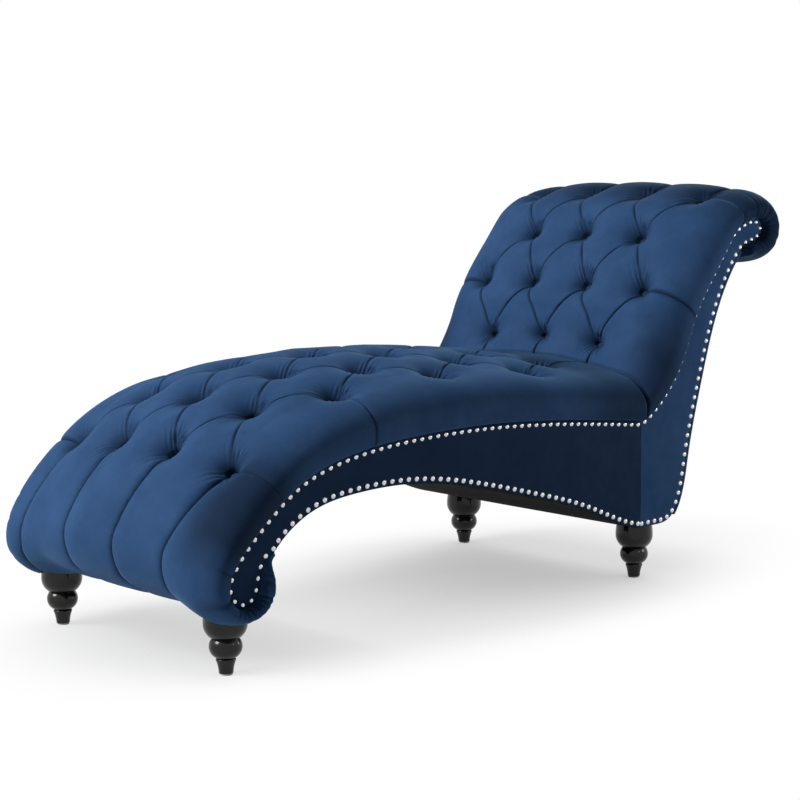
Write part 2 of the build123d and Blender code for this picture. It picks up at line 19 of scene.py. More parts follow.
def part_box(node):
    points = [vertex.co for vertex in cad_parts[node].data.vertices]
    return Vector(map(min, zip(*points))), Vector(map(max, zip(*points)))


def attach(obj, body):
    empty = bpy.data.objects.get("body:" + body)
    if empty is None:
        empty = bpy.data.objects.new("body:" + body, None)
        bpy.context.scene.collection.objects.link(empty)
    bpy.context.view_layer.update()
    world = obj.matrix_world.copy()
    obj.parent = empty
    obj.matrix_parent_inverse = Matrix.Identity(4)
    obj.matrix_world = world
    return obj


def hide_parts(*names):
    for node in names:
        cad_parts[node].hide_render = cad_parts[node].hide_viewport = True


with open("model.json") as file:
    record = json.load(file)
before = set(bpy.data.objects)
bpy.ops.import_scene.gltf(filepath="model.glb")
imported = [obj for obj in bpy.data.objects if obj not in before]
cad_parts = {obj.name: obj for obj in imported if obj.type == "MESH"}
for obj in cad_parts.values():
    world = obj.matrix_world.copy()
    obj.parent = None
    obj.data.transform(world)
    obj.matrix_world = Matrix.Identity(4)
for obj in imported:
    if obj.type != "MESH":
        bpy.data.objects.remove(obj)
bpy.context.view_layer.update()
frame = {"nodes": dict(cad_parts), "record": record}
BODY = "root"
SIDES = (("left", 1), ("right", -1))
dice = np.random.default_rng(11)

# %% [markdown]
# ## Outlines of the frame
# Both units are drawn from the side as a smooth line through a few points.  A row holds the place along the
# chaise, the height above the leg tops, the padding that stands on the edge there, and how far it leans.

# %% Side outlines, in metres
LEG_HEIGHT = 0.116
SEAM_Y = 0.3355
UNIT_GAP = 0.0004
DECK = 0.003

SEAT_EDGE = [
    (-0.6135, 0.0910, 0.0060, 0),
    (-0.6430, 0.0440, 0.037, 0),
    (-0.6540, 0.0150, 0.036, 0),
    (-0.6800, 0.0040, 0.037, 0),
    (-0.7060, 0.0150, 0.049, 0),
    (-0.7170, 0.0420, 0.074, 0),
    (-0.6960, 0.0885, 0.090, 0),
    (-0.6455, 0.1390, 0.103, 0),
    (-0.5605, 0.2010, 0.110, 0),
    (-0.4470, 0.2375, 0.121, 0),
    (-0.2455, 0.2560, 0.126, 0),
    (-0.0665, 0.2550, 0.121, 0),
    (0.1145, 0.2420, 0.116, 4),
    (SEAM_Y - UNIT_GAP, 0.2180, 0.114, 13),
]
SEAT_ARCH = [
    (-0.6135, 0.0910),
    (-0.5775, 0.1235),
    (-0.5315, 0.1487),
    (-0.4240, 0.1690),
    (-0.2690, 0.1670),
    (-0.1250, 0.1410),
    (0.0300, 0.1010),
    (0.1850, 0.0530),
    (0.2940, 0.0100),
    (SEAM_Y - UNIT_GAP, 0.0),
]
BACK_EDGE = [
    (SEAM_Y + UNIT_GAP, 0.2180, 0.114, -27),
    (0.3930, 0.2565, 0.126, -24),
    (0.4530, 0.3295, 0.127, -23),
    (0.5020, 0.4290, 0.112, -14),
    (0.5500, 0.4940, 0.106, -9),
    (0.6000, 0.5565, 0.102, -9),
    (0.6300, 0.5885, 0.086, -6),
    (0.6680, 0.6060, 0.075, -2),
    (0.6900, 0.6110, 0.070, 0),
    (0.7160, 0.6050, 0.071, 0),
    (0.7270, 0.5880, 0.074, 0),
    (0.7160, 0.5680, 0.065, 0),
    (0.6865, 0.5565, 0.043, 0),
    (0.6560, 0.5450, 0.025, 0),
]
BACK_REAR = [
    (0.6560, 0.5450),
    (0.6200, 0.5040),
    (0.5750, 0.4270),
    (0.5245, 0.2870),
    (0.4825, 0.1335),
    (0.4645, 0.0570),
    (0.4400, 0.0150),
    (0.4000, 0.0),
]


# %% A smooth line through points, measured by distance
SPAN_STEPS = 80


def run_along(points):
    """Distances of points from the first one, along their chain."""
    return np.concatenate([[0], np.cumsum(np.linalg.norm(np.diff(points, axis=0), axis=1))])


def read_along(far, places, points):
    """Points at some distances along a chain."""
    return np.stack([np.interp(far, places, points[:, k]) for k in (0, 1)], -1)


class OutlineCurve:
    """A line with no kinks through the outline's points, read by the distance along it."""

    def __init__(self, points):
        spots = np.array([p[:2] for p in points], float)
        spots[:, 1] += LEG_HEIGHT
        step = np.linalg.norm(np.diff(spots, axis=0), axis=1)
        at = run_along(spots)
        slopes = self.slopes(spots, at, step)
        dense = [spots[:1]]
        for i, span in enumerate(step):
            t = (np.arange(1, SPAN_STEPS + 1) / SPAN_STEPS)[:, None]
            start, end = (1 - t) ** 2 * (1 + 2 * t), t * t * (3 - 2 * t)
            pull = t * (1 - t) ** 2 * slopes[i] - t * t * (1 - t) * slopes[i + 1]
            dense.append(start * spots[i] + end * spots[i + 1] + pull * span)
        self.points = np.concatenate(dense)
        self.far = run_along(self.points)
        self.stations = self.far[::SPAN_STEPS]
        self.length = self.far[-1]

    @staticmethod
    def slopes(spots, at, step):
        """Slopes at the points that make the whole line bend smoothly."""
        count = len(spots)
        table = np.zeros((count, count))
        right = np.zeros((count, 2))
        table[0, 0] = table[-1, -1] = 1
        right[0] = np.polyfit(at[:4] - at[0], spots[:4], 3)[2]
        right[-1] = np.polyfit(at[-4:] - at[-1], spots[-4:], 3)[2]
        for i in range(1, count - 1):
            before, after = step[i - 1], step[i]
            table[i, i - 1:i + 2] = 1 / before, 2 / before + 2 / after, 1 / after
            rise = (spots[i] - spots[i - 1]) / before ** 2 + (spots[i + 1] - spots[i]) / after ** 2
            right[i] = 3 * rise
        return np.linalg.solve(table, right)

    def at(self, far):
        return read_along(far, self.far, self.points)

    def normal(self, far):
        """The normal on the left of the line."""
        reach = 0.002
        ahead = self.at(np.minimum(far + reach, self.length)) - self.at(np.maximum(far - reach, 0))
        ahead /= np.linalg.norm(ahead, axis=-1, keepdims=True)
        return np.stack([-ahead[..., 1], ahead[..., 0]], -1)

    def beside(self, far, amount):
        return self.at(far) + self.normal(far) * amount


seat_edge = OutlineCurve(SEAT_EDGE)
seat_arch = OutlineCurve(SEAT_ARCH)
back_edge = OutlineCurve(BACK_EDGE)
back_rear = OutlineCurve(BACK_REAR)
print("edge lengths:", [round(c.length, 3) for c in (seat_edge, seat_arch, back_edge, back_rear)])

# %% [markdown]
# ## Finishes
# Velvet is a short upright pile: it is dark where you look straight into it and pale where you look along
# it.  A sheen lobe does that, over a deep blue base that noise makes a little uneven.  A crease value,
# stored on the tufted covers, is painted shade: it darkens the colour along the folds, in the funnels and
# gathers, and on the top roll, the foot corner and by the seam.
# The other finishes are nail chrome, dark lacquered wood, and the plain stuff inside.


# %% Helpers for node trees
def set_inputs(tree, node, inputs):
    """Give each input its value, another node's output, or the first output of a node."""
    for name, value in inputs.items():
        if isinstance(value, bpy.types.Node):
            value = value.outputs[0]
        if isinstance(value, bpy.types.NodeSocket):
            tree.links.new(value, node.inputs[name])
        else:
            node.inputs[name].default_value = value


def add_node(tree, kind, inputs, **settings):
    """A new node with its settings and inputs."""
    node = tree.nodes.new(kind)
    for name, value in settings.items():
        setattr(node, name, value)
    set_inputs(tree, node, inputs)
    return node


def new_finish(name):
    """An empty node material, its tree and its Principled shader."""
    finish = bpy.data.materials.new(name)
    finish.use_nodes = True
    return finish, finish.node_tree, finish.node_tree.nodes["Principled BSDF"]


def noise_from(tree, scale, detail=4.0, stretch=(1, 1, 1), grit=0.5):
    """Noise on the piece's own coordinates, stretched where a grain runs."""
    where = add_node(tree, "ShaderNodeTexCoord", {}).outputs["Object"]
    shape = add_node(tree, "ShaderNodeMapping", {"Vector": where, "Scale": stretch})
    return add_node(tree, "ShaderNodeTexNoise", {
        "Vector": shape, "Scale": scale, "Detail": detail, "Roughness": grit})


def colours_from(tree, source, stops):
    """A colour ramp of (place, colour) stops."""
    ramp = add_node(tree, "ShaderNodeValToRGB", {"Fac": source})
    band = ramp.color_ramp
    while len(band.elements) < len(stops):
        band.elements.new(0.5)
    for element, (place, colour) in zip(band.elements, stops):
        element.position = place
        element.color = (*colour, 1)
    return ramp


def bump_from(tree, source, strength, depth):
    """A bump that the finish carries in its shading."""
    return add_node(tree, "ShaderNodeBump", {"Height": source, "Strength": strength, "Distance": depth})


def grained(name, dark, pale, scale, stretch, roughness, bump=0.2, depth=0.0004, coat=0.0, gloss=0.3):
    """A two-tone finish with a stretched grain."""
    finish, tree, shader = new_finish(name)
    grain = noise_from(tree, scale, detail=6.0, stretch=stretch)
    set_inputs(tree, shader, {
        "Base Color": colours_from(tree, grain, [(0.35, dark), (0.65, pale)]),
        "Roughness": roughness,
        "Specular IOR Level": gloss,
        "Coat Weight": coat,
        "Coat Roughness": 0.04,
        "Normal": bump_from(tree, grain, bump, depth),
    })
    return finish


# %% The finishes
# Painted shade: the share by which a full crease value darkens the velvet.
CREASE_SHADE = 0.80
VELVET_TONES = [
    (0.30, (0.021, 0.056, 0.139)),
    (0.52, (0.028, 0.070, 0.168)),
    (0.75, (0.036, 0.085, 0.199)),
]


def velvet_finish(name, depth):
    """Blue velvet: uneven deep blue under a pale sheen, with painted shade where the crease value is high."""
    finish, tree, shader = new_finish(name)
    cloud = noise_from(tree, scale=11.0, detail=8.0, grit=0.68)
    pile = noise_from(tree, scale=900.0, detail=2.0)
    tones = [(place, tuple(depth * part for part in tone)) for place, tone in VELVET_TONES]
    # Painted shade: the crease value scales the base colour down.
    crease = add_node(tree, "ShaderNodeAttribute", {}, attribute_name="crease")
    keep = add_node(tree, "ShaderNodeMapRange", {
        "Value": crease.outputs["Fac"], "To Min": 1.0, "To Max": 1.0 - CREASE_SHADE})
    dimmed = add_node(tree, "ShaderNodeVectorMath", {
        0: colours_from(tree, cloud, tones), "Scale": keep}, operation="SCALE")
    set_inputs(tree, shader, {
        "Base Color": dimmed,
        "Roughness": 0.72,
        "Specular IOR Level": 0.04,
        "Sheen Weight": 0.20,
        "Sheen Roughness": 0.40,
        "Sheen Tint": (0.26, 0.54, 0.92, 1),
        "Normal": bump_from(tree, pile, strength=0.18, depth=0.0005),
    })
    return finish


def metal_finish(name, colour, roughness):
    """Metal with faint polishing marks."""
    finish, tree, shader = new_finish(name)
    marks = noise_from(tree, scale=260.0, detail=3.0)
    dull = tuple(0.9 * part for part in colour)
    set_inputs(tree, shader, {
        "Base Color": colours_from(tree, marks, [(0.3, dull), (0.7, colour)]),
        "Metallic": 1.0,
        "Roughness": roughness,
        "Normal": bump_from(tree, marks, strength=0.04, depth=0.0001),
    })
    return finish


# Dark and pale tone, scale and stretch of the grain, roughness, bump and its depth, coat, gloss.
GRAINED = {
    "leg_wood": ((0.004, 0.0034, 0.003), (0.009, 0.0075, 0.0065), 40.0, (1, 1, 0.12), 0.32,
                 0.10, 0.0002, 0.45, 0.08),
    "frame_wood": ((0.42, 0.29, 0.16), (0.58, 0.43, 0.27), 30.0, (1, 0.08, 1), 0.65),
    "foam": ((0.62, 0.55, 0.36), (0.80, 0.74, 0.55), 700.0, (1, 1, 1), 0.95, 0.5, 0.001),
    "hessian": ((0.26, 0.19, 0.11), (0.46, 0.36, 0.22), 500.0, (1, 0.4, 1), 0.95, 0.6, 0.0008),
    "webbing": ((0.05, 0.05, 0.055), (0.12, 0.12, 0.13), 420.0, (0.3, 1, 1), 0.85, 0.5, 0.0006),
    "dust_cloth": ((0.005, 0.005, 0.006), (0.011, 0.011, 0.012), 600.0, (1, 1, 1), 0.92,
                   0.4, 0.0005, 0.0, 0.1),
    "glide_plastic": ((0.52, 0.52, 0.50), (0.62, 0.62, 0.60), 200.0, (1, 1, 1), 0.4, 0.05, 0.0001),
}
finishes = {
    "velvet": velvet_finish("blue_velvet", 1.0),
    "nail_chrome": metal_finish("nail_chrome", (0.55, 0.56, 0.58), 0.06),
    "zinc_steel": metal_finish("zinc_steel", (0.62, 0.63, 0.65), 0.34),
}
for name, row in GRAINED.items():
    finishes[name] = grained(name, *row)
# Lit and shaded copies of the velvet: painted shade darkens the seat's side panels, painted light brightens
# the back's.
lit_and_shaded_panel_velvet = {
    "seat": velvet_finish("seat_panel_velvet_painted_shade", 0.43),
    "back": velvet_finish("back_panel_velvet_painted_light", 1.08),
}
# A darker copy of the velvet: painted shade on the buttons at the bottom of their tufts.
shaded_button_velvet = velvet_finish("shaded_button_velvet", 0.55)
print("finishes:", len(bpy.data.materials))

# %% [markdown]
# ## Pieces from points
# Every cloth piece below is a grid of points worked out with arrays, so one helper turns points and faces
# into a piece, and another tells the frame which body it rides on and which plain solids it stands for.


# %% Making and seating a piece
def put_in_scene(name, data):
    """A new object in the scene that shows this data."""
    thing = bpy.data.objects.new(name, data)
    bpy.context.scene.collection.objects.link(thing)
    return thing


def make_piece(name, points, faces, finish):
    """A smooth mesh piece from points and faces."""
    mesh = bpy.data.meshes.new(name)
    mesh.from_pydata(np.asarray(points).tolist(), [], faces)
    mesh.materials.append(finish)
    mesh.shade_smooth()
    return put_in_scene(name, mesh)


def seat_piece(piece, slot, *nodes):
    """Ride on the chaise and stand for the plain solids; the slot argument is not used."""
    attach(piece, BODY)
    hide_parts(*nodes)
    print(piece.name, len(piece.data.polygons), "faces, for", ", ".join(nodes))


def ring_faces(rows, columns, crease=None):
    """Faces of a tube of closed rings; a quad that a diagonal crease crosses is split along it."""
    faces = []
    for i in range(rows - 1):
        for j in range(columns):
            a, b = i * columns + j, i * columns + (j + 1) % columns
            c, d = b + columns, a + columns
            if crease is not None and j + 1 < crease.shape[1]:
                if crease[i, j] and crease[i + 1, j + 1] and not crease[i, j + 1]:
                    faces += [(a, b, c), (a, c, d)]
                    continue
                if crease[i, j + 1] and crease[i + 1, j] and not crease[i, j]:
                    faces += [(a, b, d), (b, c, d)]
                    continue
            faces.append((a, b, c, d))
    return faces


def closed_tube(rings, crease=None):
    """Points and faces of a tube of rings, with a fan over each end."""
    rows, columns = rings.shape[:2]
    ends = [rings[0].mean(0), rings[-1].mean(0)]
    points = np.concatenate([rings.reshape(-1, 3), ends])
    faces = ring_faces(rows, columns, crease)
    first, last = rows * columns, rows * columns + 1
    start = (rows - 1) * columns
    for j in range(columns):
        k = (j + 1) % columns
        faces.append((first, k, j))
        faces.append((last, start + j, start + k))
    return points, faces


# %% [markdown]
# ## The padding and its tufts
# Across the chaise the padding is a crowned section that bulges over the frame's sides.  A grid of points
# follows it along the edge.  The grid's lines are counted in button pitches, so that every fold between two
# buttons runs exactly through points and stays crisp.
# The swell of the velvet is settled further down like a stretched skin: it is held down along the folds and
# at the buttons, pushed up from below, and relaxed until it rests.  A cloth simulation does the same job,
# but this one keeps the folds where an upholsterer lays them.

# %% Sizes of the padding and its grid
PAD_BASE = 0.3004
BULGE_X, BULGE_SHARE = 0.3225, 0.36
SHOULDER_X = 0.225
SHOULDER_SHARE = {"seat": 0.77, "back": 0.91}
KNEE, LIP = (0.3212, 0.15), (0.3158, 0.040)
CHEEK_X, CHEEK_RISE = 0.2991, 0.53
TUCK = {"seat": 0.060, "back": 0.010}
SEAM_SHOULDER, SEAM_BLEND = 0.84, 0.140
HOLLOW = 0.70
UNDER_START, UNDER_END, UNDER_SIDE = (0.02, 0.04), (0.140, 0.070), (0.16, 0.12)
LAP = 0.0016
USUAL_HEIGHT = 0.124
COLUMN_PITCH = 0.075
STEPS = 48
SIDE_STEPS = 72
END_STEP = 0.0020
SEAT_ROWS = (0.356, 0.462, 0.580, 0.700, 0.818, 0.936, 1.056, 1.180)
BACK_ROWS = (0.062, 0.252, 0.374, 0.498)


# %% The padding's section and its run along an edge
def section_columns(steps, side_steps, shoulder):
    """Places across the padding: x and share of the height, from the right base to the left base."""
    crown = np.arange(-3 * steps, 3 * steps + 1) / steps * COLUMN_PITCH
    crown_share = 1 - (1 - shoulder) * (crown / SHOULDER_X) ** 2
    inner = [(x, 1 - (1 - shoulder) * (x / SHOULDER_X) ** 2) for x in (0.0, COLUMN_PITCH, 2 * COLUMN_PITCH)]
    cheek = (CHEEK_X, (BULGE_SHARE + shoulder) * CHEEK_RISE)
    chain = inner + [(SHOULDER_X, shoulder), cheek, (BULGE_X, BULGE_SHARE), KNEE, LIP, (PAD_BASE, 0)]
    side = OutlineCurve([(x, share * USUAL_HEIGHT - LEG_HEIGHT) for x, share in chain])
    start = side.stations[len(inner)]
    line = side.at(start + (side.length - start) * np.arange(1, side_steps + 1) / side_steps)
    side_x, side_share = line[:, 0], line[:, 1] / USUAL_HEIGHT
    x = np.concatenate([-side_x[::-1], crown, side_x])
    share = np.concatenate([side_share[::-1], crown_share, side_share])
    across = np.concatenate([[0], np.cumsum(np.hypot(np.diff(x), np.diff(share) * USUAL_HEIGHT))])
    return x, np.clip(share, 0, 1), across - across[len(across) // 2]


def eased(curve, values, far):
    """Values at the outline's points, carried smoothly along the line."""
    spots, values = curve.stations, np.array(values, float)
    slope = np.empty(len(values))
    slope[1:-1] = (values[2:] - values[:-2]) / (spots[2:] - spots[:-2])
    slope[0] = (values[1] - values[0]) / (spots[1] - spots[0])
    slope[-1] = (values[-1] - values[-2]) / (spots[-1] - spots[-2])
    i = np.clip(np.searchsorted(spots, far, "right") - 1, 0, len(spots) - 2)
    gap = spots[i + 1] - spots[i]
    t = (far - spots[i]) / gap
    pull = slope[i] * t * (1 - t) ** 2 - slope[i + 1] * t * t * (1 - t)
    return values[i] + (values[i + 1] - values[i]) * t * t * (3 - 2 * t) + pull * gap


def rising(value, start, length):
    """A step from nought to one without corners, over a stretch of cloth.

    A pair whose name ends in START, END or SIDE is such a stretch: where it begins, and its length.
    """
    part = np.clip((value - start) / length, 0, 1)
    return part * part * (3 - 2 * part)


def padding_run(curve, outline, far):
    """Base point, lean direction and height of the padding at distances along the edge."""
    height = DECK + eased(curve, [row[2] for row in outline], far)
    turn = np.radians(eased(curve, [row[3] for row in outline], far))
    normal = curve.normal(far)
    lean_y = normal[:, 0] * np.cos(turn) - normal[:, 1] * np.sin(turn)
    lean_z = normal[:, 0] * np.sin(turn) + normal[:, 1] * np.cos(turn)
    return curve.at(far), np.stack([lean_y, lean_z], -1), height


def padding_grid(curve, outline, far, x, share, layer=0.0, side=0.0):
    """Points of the padding's face, drawn in by a layer on top and at the sides."""
    base, lean, height = padding_run(curve, outline, far)
    rise = (height - layer)[:, None] * np.atleast_2d(share)
    grid = np.empty((*rise.shape, 3))
    grid[..., 0] = x - np.sign(x) * np.minimum(side, abs(x))
    grid[..., 1] = base[:, None, 0] + lean[:, None, 0] * rise
    grid[..., 2] = base[:, None, 1] + lean[:, None, 1] * rise
    return grid


# %% One unit's grid and buttons
class TuftedFace:
    """One unit's velvet before it is tufted: its grid of points and its buttons."""

    def __init__(self, unit, curve, outline, rows, four_first, roll_end, seam_end):
        self.unit, self.curve, self.outline = unit, curve, outline
        self.rows, self.four_first = rows, four_first
        self.roll_end, self.seam_end = roll_end, seam_end
        self.x, self.share, self.across = section_columns(STEPS, SIDE_STEPS, SHOULDER_SHARE[unit])
        self.middle = SIDE_STEPS + 3 * STEPS
        self.far, self.first = self.row_places()
        self.from_tip = self.far if roll_end < 0 else curve.length - self.far
        self.from_seam = curve.length - self.from_tip
        seam_x, seam_share, _ = section_columns(STEPS, SIDE_STEPS, SEAM_SHOULDER)
        near_seam = 1 - rising(self.from_seam, 0, SEAM_BLEND)
        x = self.x + np.outer(near_seam, seam_x - self.x)
        share = self.share + np.outer(near_seam, seam_share - self.share)
        if unit == "seat":
            share = share * (1 - HOLLOW * self.underside())
        self.grid = padding_grid(curve, outline, self.far, x, share)
        self.grid[:, [0, -1], 1:] -= LAP * padding_run(curve, outline, self.far)[1][:, None, :]
        bulge = np.sign(self.x) * np.clip(abs(self.x) - PAD_BASE, 0, None)
        self.grid[..., 0] -= np.outer(1 - rising(self.from_tip, 0, TUCK[unit]), bulge)

    def underside(self):
        """Where the foot roll is thin: under it, between the legs."""
        low = rising(self.from_tip, *UNDER_START) * (1 - rising(self.from_tip, *UNDER_END))
        return np.outer(low, 1 - rising(abs(self.x), *UNDER_SIDE))

    def row_places(self):
        """Distances of the grid's rows, and the index of the first button row."""
        before = max(2, round(self.rows[0] / END_STEP))
        after = max(2, round((self.curve.length - self.rows[-1]) / END_STEP))
        parts = [np.linspace(0, self.rows[0], before, endpoint=False)]
        for low, high in zip(self.rows[:-1], self.rows[1:]):
            parts.append(np.linspace(low, high, STEPS, endpoint=False))
        parts.append(np.linspace(self.rows[-1], self.curve.length, after + 1))
        return np.concatenate(parts), before

    def buttons(self):
        """Row and column index of every button, and the number of its row."""
        found = []
        for n in range(len(self.rows)):
            four = (n % 2 == 0) == self.four_first
            for c in (-3, -1, 1, 3) if four else (-2, 0, 2):
                found.append((self.first + n * STEPS, self.middle + c * STEPS, n))
        return found

    def round_buttons(self):
        """For each button, its row and the distance and angle of every grid point from it, in the cloth."""
        for i, j, n in self.buttons():
            along = (self.far - self.far[i])[:, None]
            over = (self.across - self.across[j])[None, :]
            yield i, np.hypot(along, over), np.arctan2(along, over)

    def outward(self):
        """Unit normals of the padding's face."""
        along = np.gradient(self.grid, axis=0)
        over = np.gradient(self.grid, axis=1)
        normal = np.cross(over, along)
        return normal / np.linalg.norm(normal, axis=-1, keepdims=True)


# %% [markdown]
# ## Folds, pleats and painted shade
# Folds run from button to button on the slant, from the outer buttons down the sides, and on over the rolls
# and into the seam.  Each is deepest at its button.  Every button also draws a round funnel into the padding,
# with fine pleats that vary from button to button, between the least and the most of their pairs.
# Short gathers lie along the nails, where the cloth is drawn round a scroll.  Shade is painted into the
# velvet's colour along the folds, in the funnels and gathers, and on the top roll, the foot corner and by the
# seam.

# %% Where the folds run
TUFT_DEPTH = 0.040
FOLD_DEPTH = 0.0078
FOLD_DIP = 3.0
ROLL_FOLD_DEPTH = {"seat": 0.0074, "back": 0.0095}
OUTER_FOLD = {"seat": 1.0, "back": 0.4}
SIDE_FOLD_DEPTH = 0.0056
FOLD_FADE = 0.040
FOLD_DRIFT = {-3: -0.016, -1: -0.010, 1: -0.014, 3: -0.042}
DRIFT_PACE, ROLL_EASE = 1.5, 24
OPEN_ROW, OPEN_RUN = 4, 0.34


def drift(face, side):
    """Columns by which a fold wanders as it runs over the foot roll."""
    if face.unit == "back":
        return 0
    return FOLD_DRIFT[side // STEPS] / COLUMN_PITCH * STEPS


def folds(face):
    """The points on folds, and how deep each is held down."""
    shape = face.grid.shape[:2]
    depth, fold = np.zeros(shape), np.zeros(shape, bool)
    last_row = len(face.rows) - 1

    def hold(i, j, shallow, dip, ease=1.0):
        if 0 <= i < shape[0]:
            amount = -ease * (shallow + (TUFT_DEPTH - shallow) * dip)
            depth[i, j] = min(amount, depth[i, j]) if fold[i, j] else amount
            fold[i, j] = True

    for i, j, n in face.buttons():
        side = j - face.middle
        outer = abs(side) == 3 * STEPS
        for way in (-1, 1):
            if n < last_row and abs(side + way * STEPS) <= 3 * STEPS:
                for k in range(STEPS + 1):
                    hold(i + k, j + way * k, FOLD_DEPTH, abs(2 * k / STEPS - 1) ** FOLD_DIP)
            if outer and side * way > 0:
                edge = shape[1] - 1 - j if way > 0 else j
                run = edge if n < OPEN_ROW else round(OPEN_RUN * edge)
                for k in range(run + 1):
                    dip = np.exp(-abs(face.across[j + way * k] - face.across[j]) / FOLD_FADE)
                    hold(i, j + way * k, SIDE_FOLD_DEPTH, dip, 1 - (k / run) ** 2)
        if n == (last_row if face.seam_end > 0 else 0):
            for k in range(shape[0] - i if face.seam_end > 0 else i + 1):
                hold(i + face.seam_end * k, j, FOLD_DEPTH, np.exp(-k * END_STEP / FOLD_FADE))
        if n == (0 if face.roll_end < 0 else last_row):
            stretch = i + 1 if face.roll_end < 0 else shape[0] - i
            shallow = ROLL_FOLD_DEPTH[face.unit] * (OUTER_FOLD[face.unit] if outer else 1.0)
            for k in range(stretch):
                aside = round(drift(face, side) * rising(DRIFT_PACE * k, 0, stretch))
                dip = np.exp(-k * END_STEP / FOLD_FADE)
                ease = min(1.0, (stretch - k) / ROLL_EASE)
                hold(i + face.roll_end * k, j + aside, shallow, dip, ease)
    return fold, depth


# %% Funnels, pleats and gathers
FUNNEL_R, FUNNEL_POWER = 0.026, 1.25
PLEAT, FAN, NAIL_GATHER = 0.0027, 0.0026, 0.0040
PLEAT_AT, PLEAT_WIDTH, PLEAT_SPREAD, PLEAT_OPEN = 0.024, 0.006, 0.22, 0.07
PLEAT_WAVE, PLEAT_RUN, PLEAT_SIZE = (0.0055, 0.0075), (0.012, 0.024), (0.3, 1.2)
FAN_LINES, FAN_AIM, FAN_ANGLE, FAN_BAND = (24, 31), (1.1, 1.5), 0.9, 0.010
GATHER_AT, GATHER_HALF, GATHER_PITCH = 0.100, 0.062, 0.0115
GATHER_UNEVEN = ((0.5, 0.017, 0), (0.35, 0.0075, 1))
GATHER_REACH, GATHER_SWAY, SWAY_RUN, NAIL_HOLD = 0.066, 0.020, 0.009, 0.005
SHORT_PLEATS = {"seat": (0.165, 0.203, 0.238), "back": (0.141, 0.181)}
SHORT_DEPTH, SHORT_WIDTH, SHORT_REACH = 0.9, 0.0030, 0.090


def funnels(face):
    """The round funnel that every button draws into the padding."""
    total = np.zeros(face.grid.shape[:2])
    for i, reach, angle in face.round_buttons():
        total = np.minimum(total, -TUFT_DEPTH * np.exp(-(reach / FUNNEL_R) ** FUNNEL_POWER))
    return total


def wrinkles(face):
    """Fine pleats that run from each button along its folds, and spread as they go."""
    total = np.zeros(face.grid.shape[:2])
    for i, reach, angle in face.round_buttons():
        slant = np.arctan2(face.far[min(i + STEPS, len(face.far) - 1)] - face.far[i], COLUMN_PITCH)
        for way in (slant, pi - slant, -slant, slant - pi):
            off = (angle - way + pi) % (2 * pi) - pi
            beside, ahead = reach * np.sin(off), reach * np.cos(off)
            spread = PLEAT_WIDTH + PLEAT_SPREAD * np.clip(ahead, 0, None)
            wave = dice.uniform(*PLEAT_WAVE) * (1 + np.clip(ahead, 0, None) / PLEAT_OPEN)
            ripple = np.cos(2 * pi * beside / wave + dice.uniform(-1, 1))
            ripple *= np.exp(-(beside / spread) ** 2)
            run = np.exp(-((ahead - PLEAT_AT) / dice.uniform(*PLEAT_RUN)) ** 2) * (ahead > 0)
            total += PLEAT * dice.uniform(*PLEAT_SIZE) * ripple * run
        lines = dice.integers(*FAN_LINES)
        window = np.exp(-((angle - dice.uniform(*FAN_AIM)) / FAN_ANGLE) ** 2)
        ring = np.exp(-((reach - PLEAT_AT) / FAN_BAND) ** 2)
        total += FAN * np.cos(lines * angle + dice.uniform(0, 6)) * window * ring
    return total


def nail_gathers(face):
    """Short pleats where the cloth is drawn round a scroll tip to the nails."""
    edge, tip = face.across[-1] - abs(face.across), face.from_tip
    round_tip = np.exp(-((tip - GATHER_AT) / GATHER_HALF) ** 4)
    count = tip / GATHER_PITCH
    for size, length, start in GATHER_UNEVEN:
        count = count + size * np.sin(tip / length + start)
    reach = GATHER_REACH + GATHER_SWAY * np.sin(tip / SWAY_RUN)
    root = 1 - np.exp(-edge / NAIL_HOLD)
    fade = np.exp(-(edge[None, :] / reach[:, None]) ** 2) * root[None, :]
    total = ((abs(np.sin(pi * count)) - 2 / pi) * round_tip)[:, None] * fade
    for place in SHORT_PLEATS[face.unit]:
        line = np.exp(-(abs(tip - place) / SHORT_WIDTH) ** 1.3)
        total -= SHORT_DEPTH * np.outer(line, root * np.exp(-(edge / SHORT_REACH) ** 3))
    return NAIL_GATHER * total


# %% Painted shade in the folds, funnels and shaded zones
# Painted shade: its reach round buttons and spread beside folds, and its strength on the roll, corner and
# seam.
CREASE_R, CREASE_SPREAD, CREASE_ROUNDS = 0.022, 0.42, 2
ROLL_SHADE, CORNER_SHADE, SEAM_SHADE = 0.86, 0.86, 0.72
ROLL_SHADE_END, LOW_SHADE_END, CHEEK_SIDE = (0.15, 0.10), (0.08, 0.20), (0.22, 0.10)
BEND_START, BEND_END, CORNER_SIDE = (0.17, 0.08), (0.34, 0.10), (0.19, 0.09)
SEAM_SHADE_END = (0.06, 0.20)


def painted_zone_shade(face):
    """Painted shade where the velvet lies in shade: on the top roll, the left foot corner, by the seam."""
    wide = np.ones(len(face.across))
    if face.unit == "back":
        roll = np.outer(1 - rising(face.from_tip, *ROLL_SHADE_END), wide)
        low = np.outer(1 - rising(face.from_seam, *LOW_SHADE_END), rising(abs(face.across), *CHEEK_SIDE))
        return np.maximum(ROLL_SHADE * roll, SEAM_SHADE * low)
    bend = rising(face.from_tip, *BEND_START) * (1 - rising(face.from_tip, *BEND_END))
    corner = np.outer(bend, rising(face.across, *CORNER_SIDE))
    seam = np.outer(1 - rising(face.from_seam, *SEAM_SHADE_END), wide)
    return np.maximum(CORNER_SHADE * corner, SEAM_SHADE * seam)


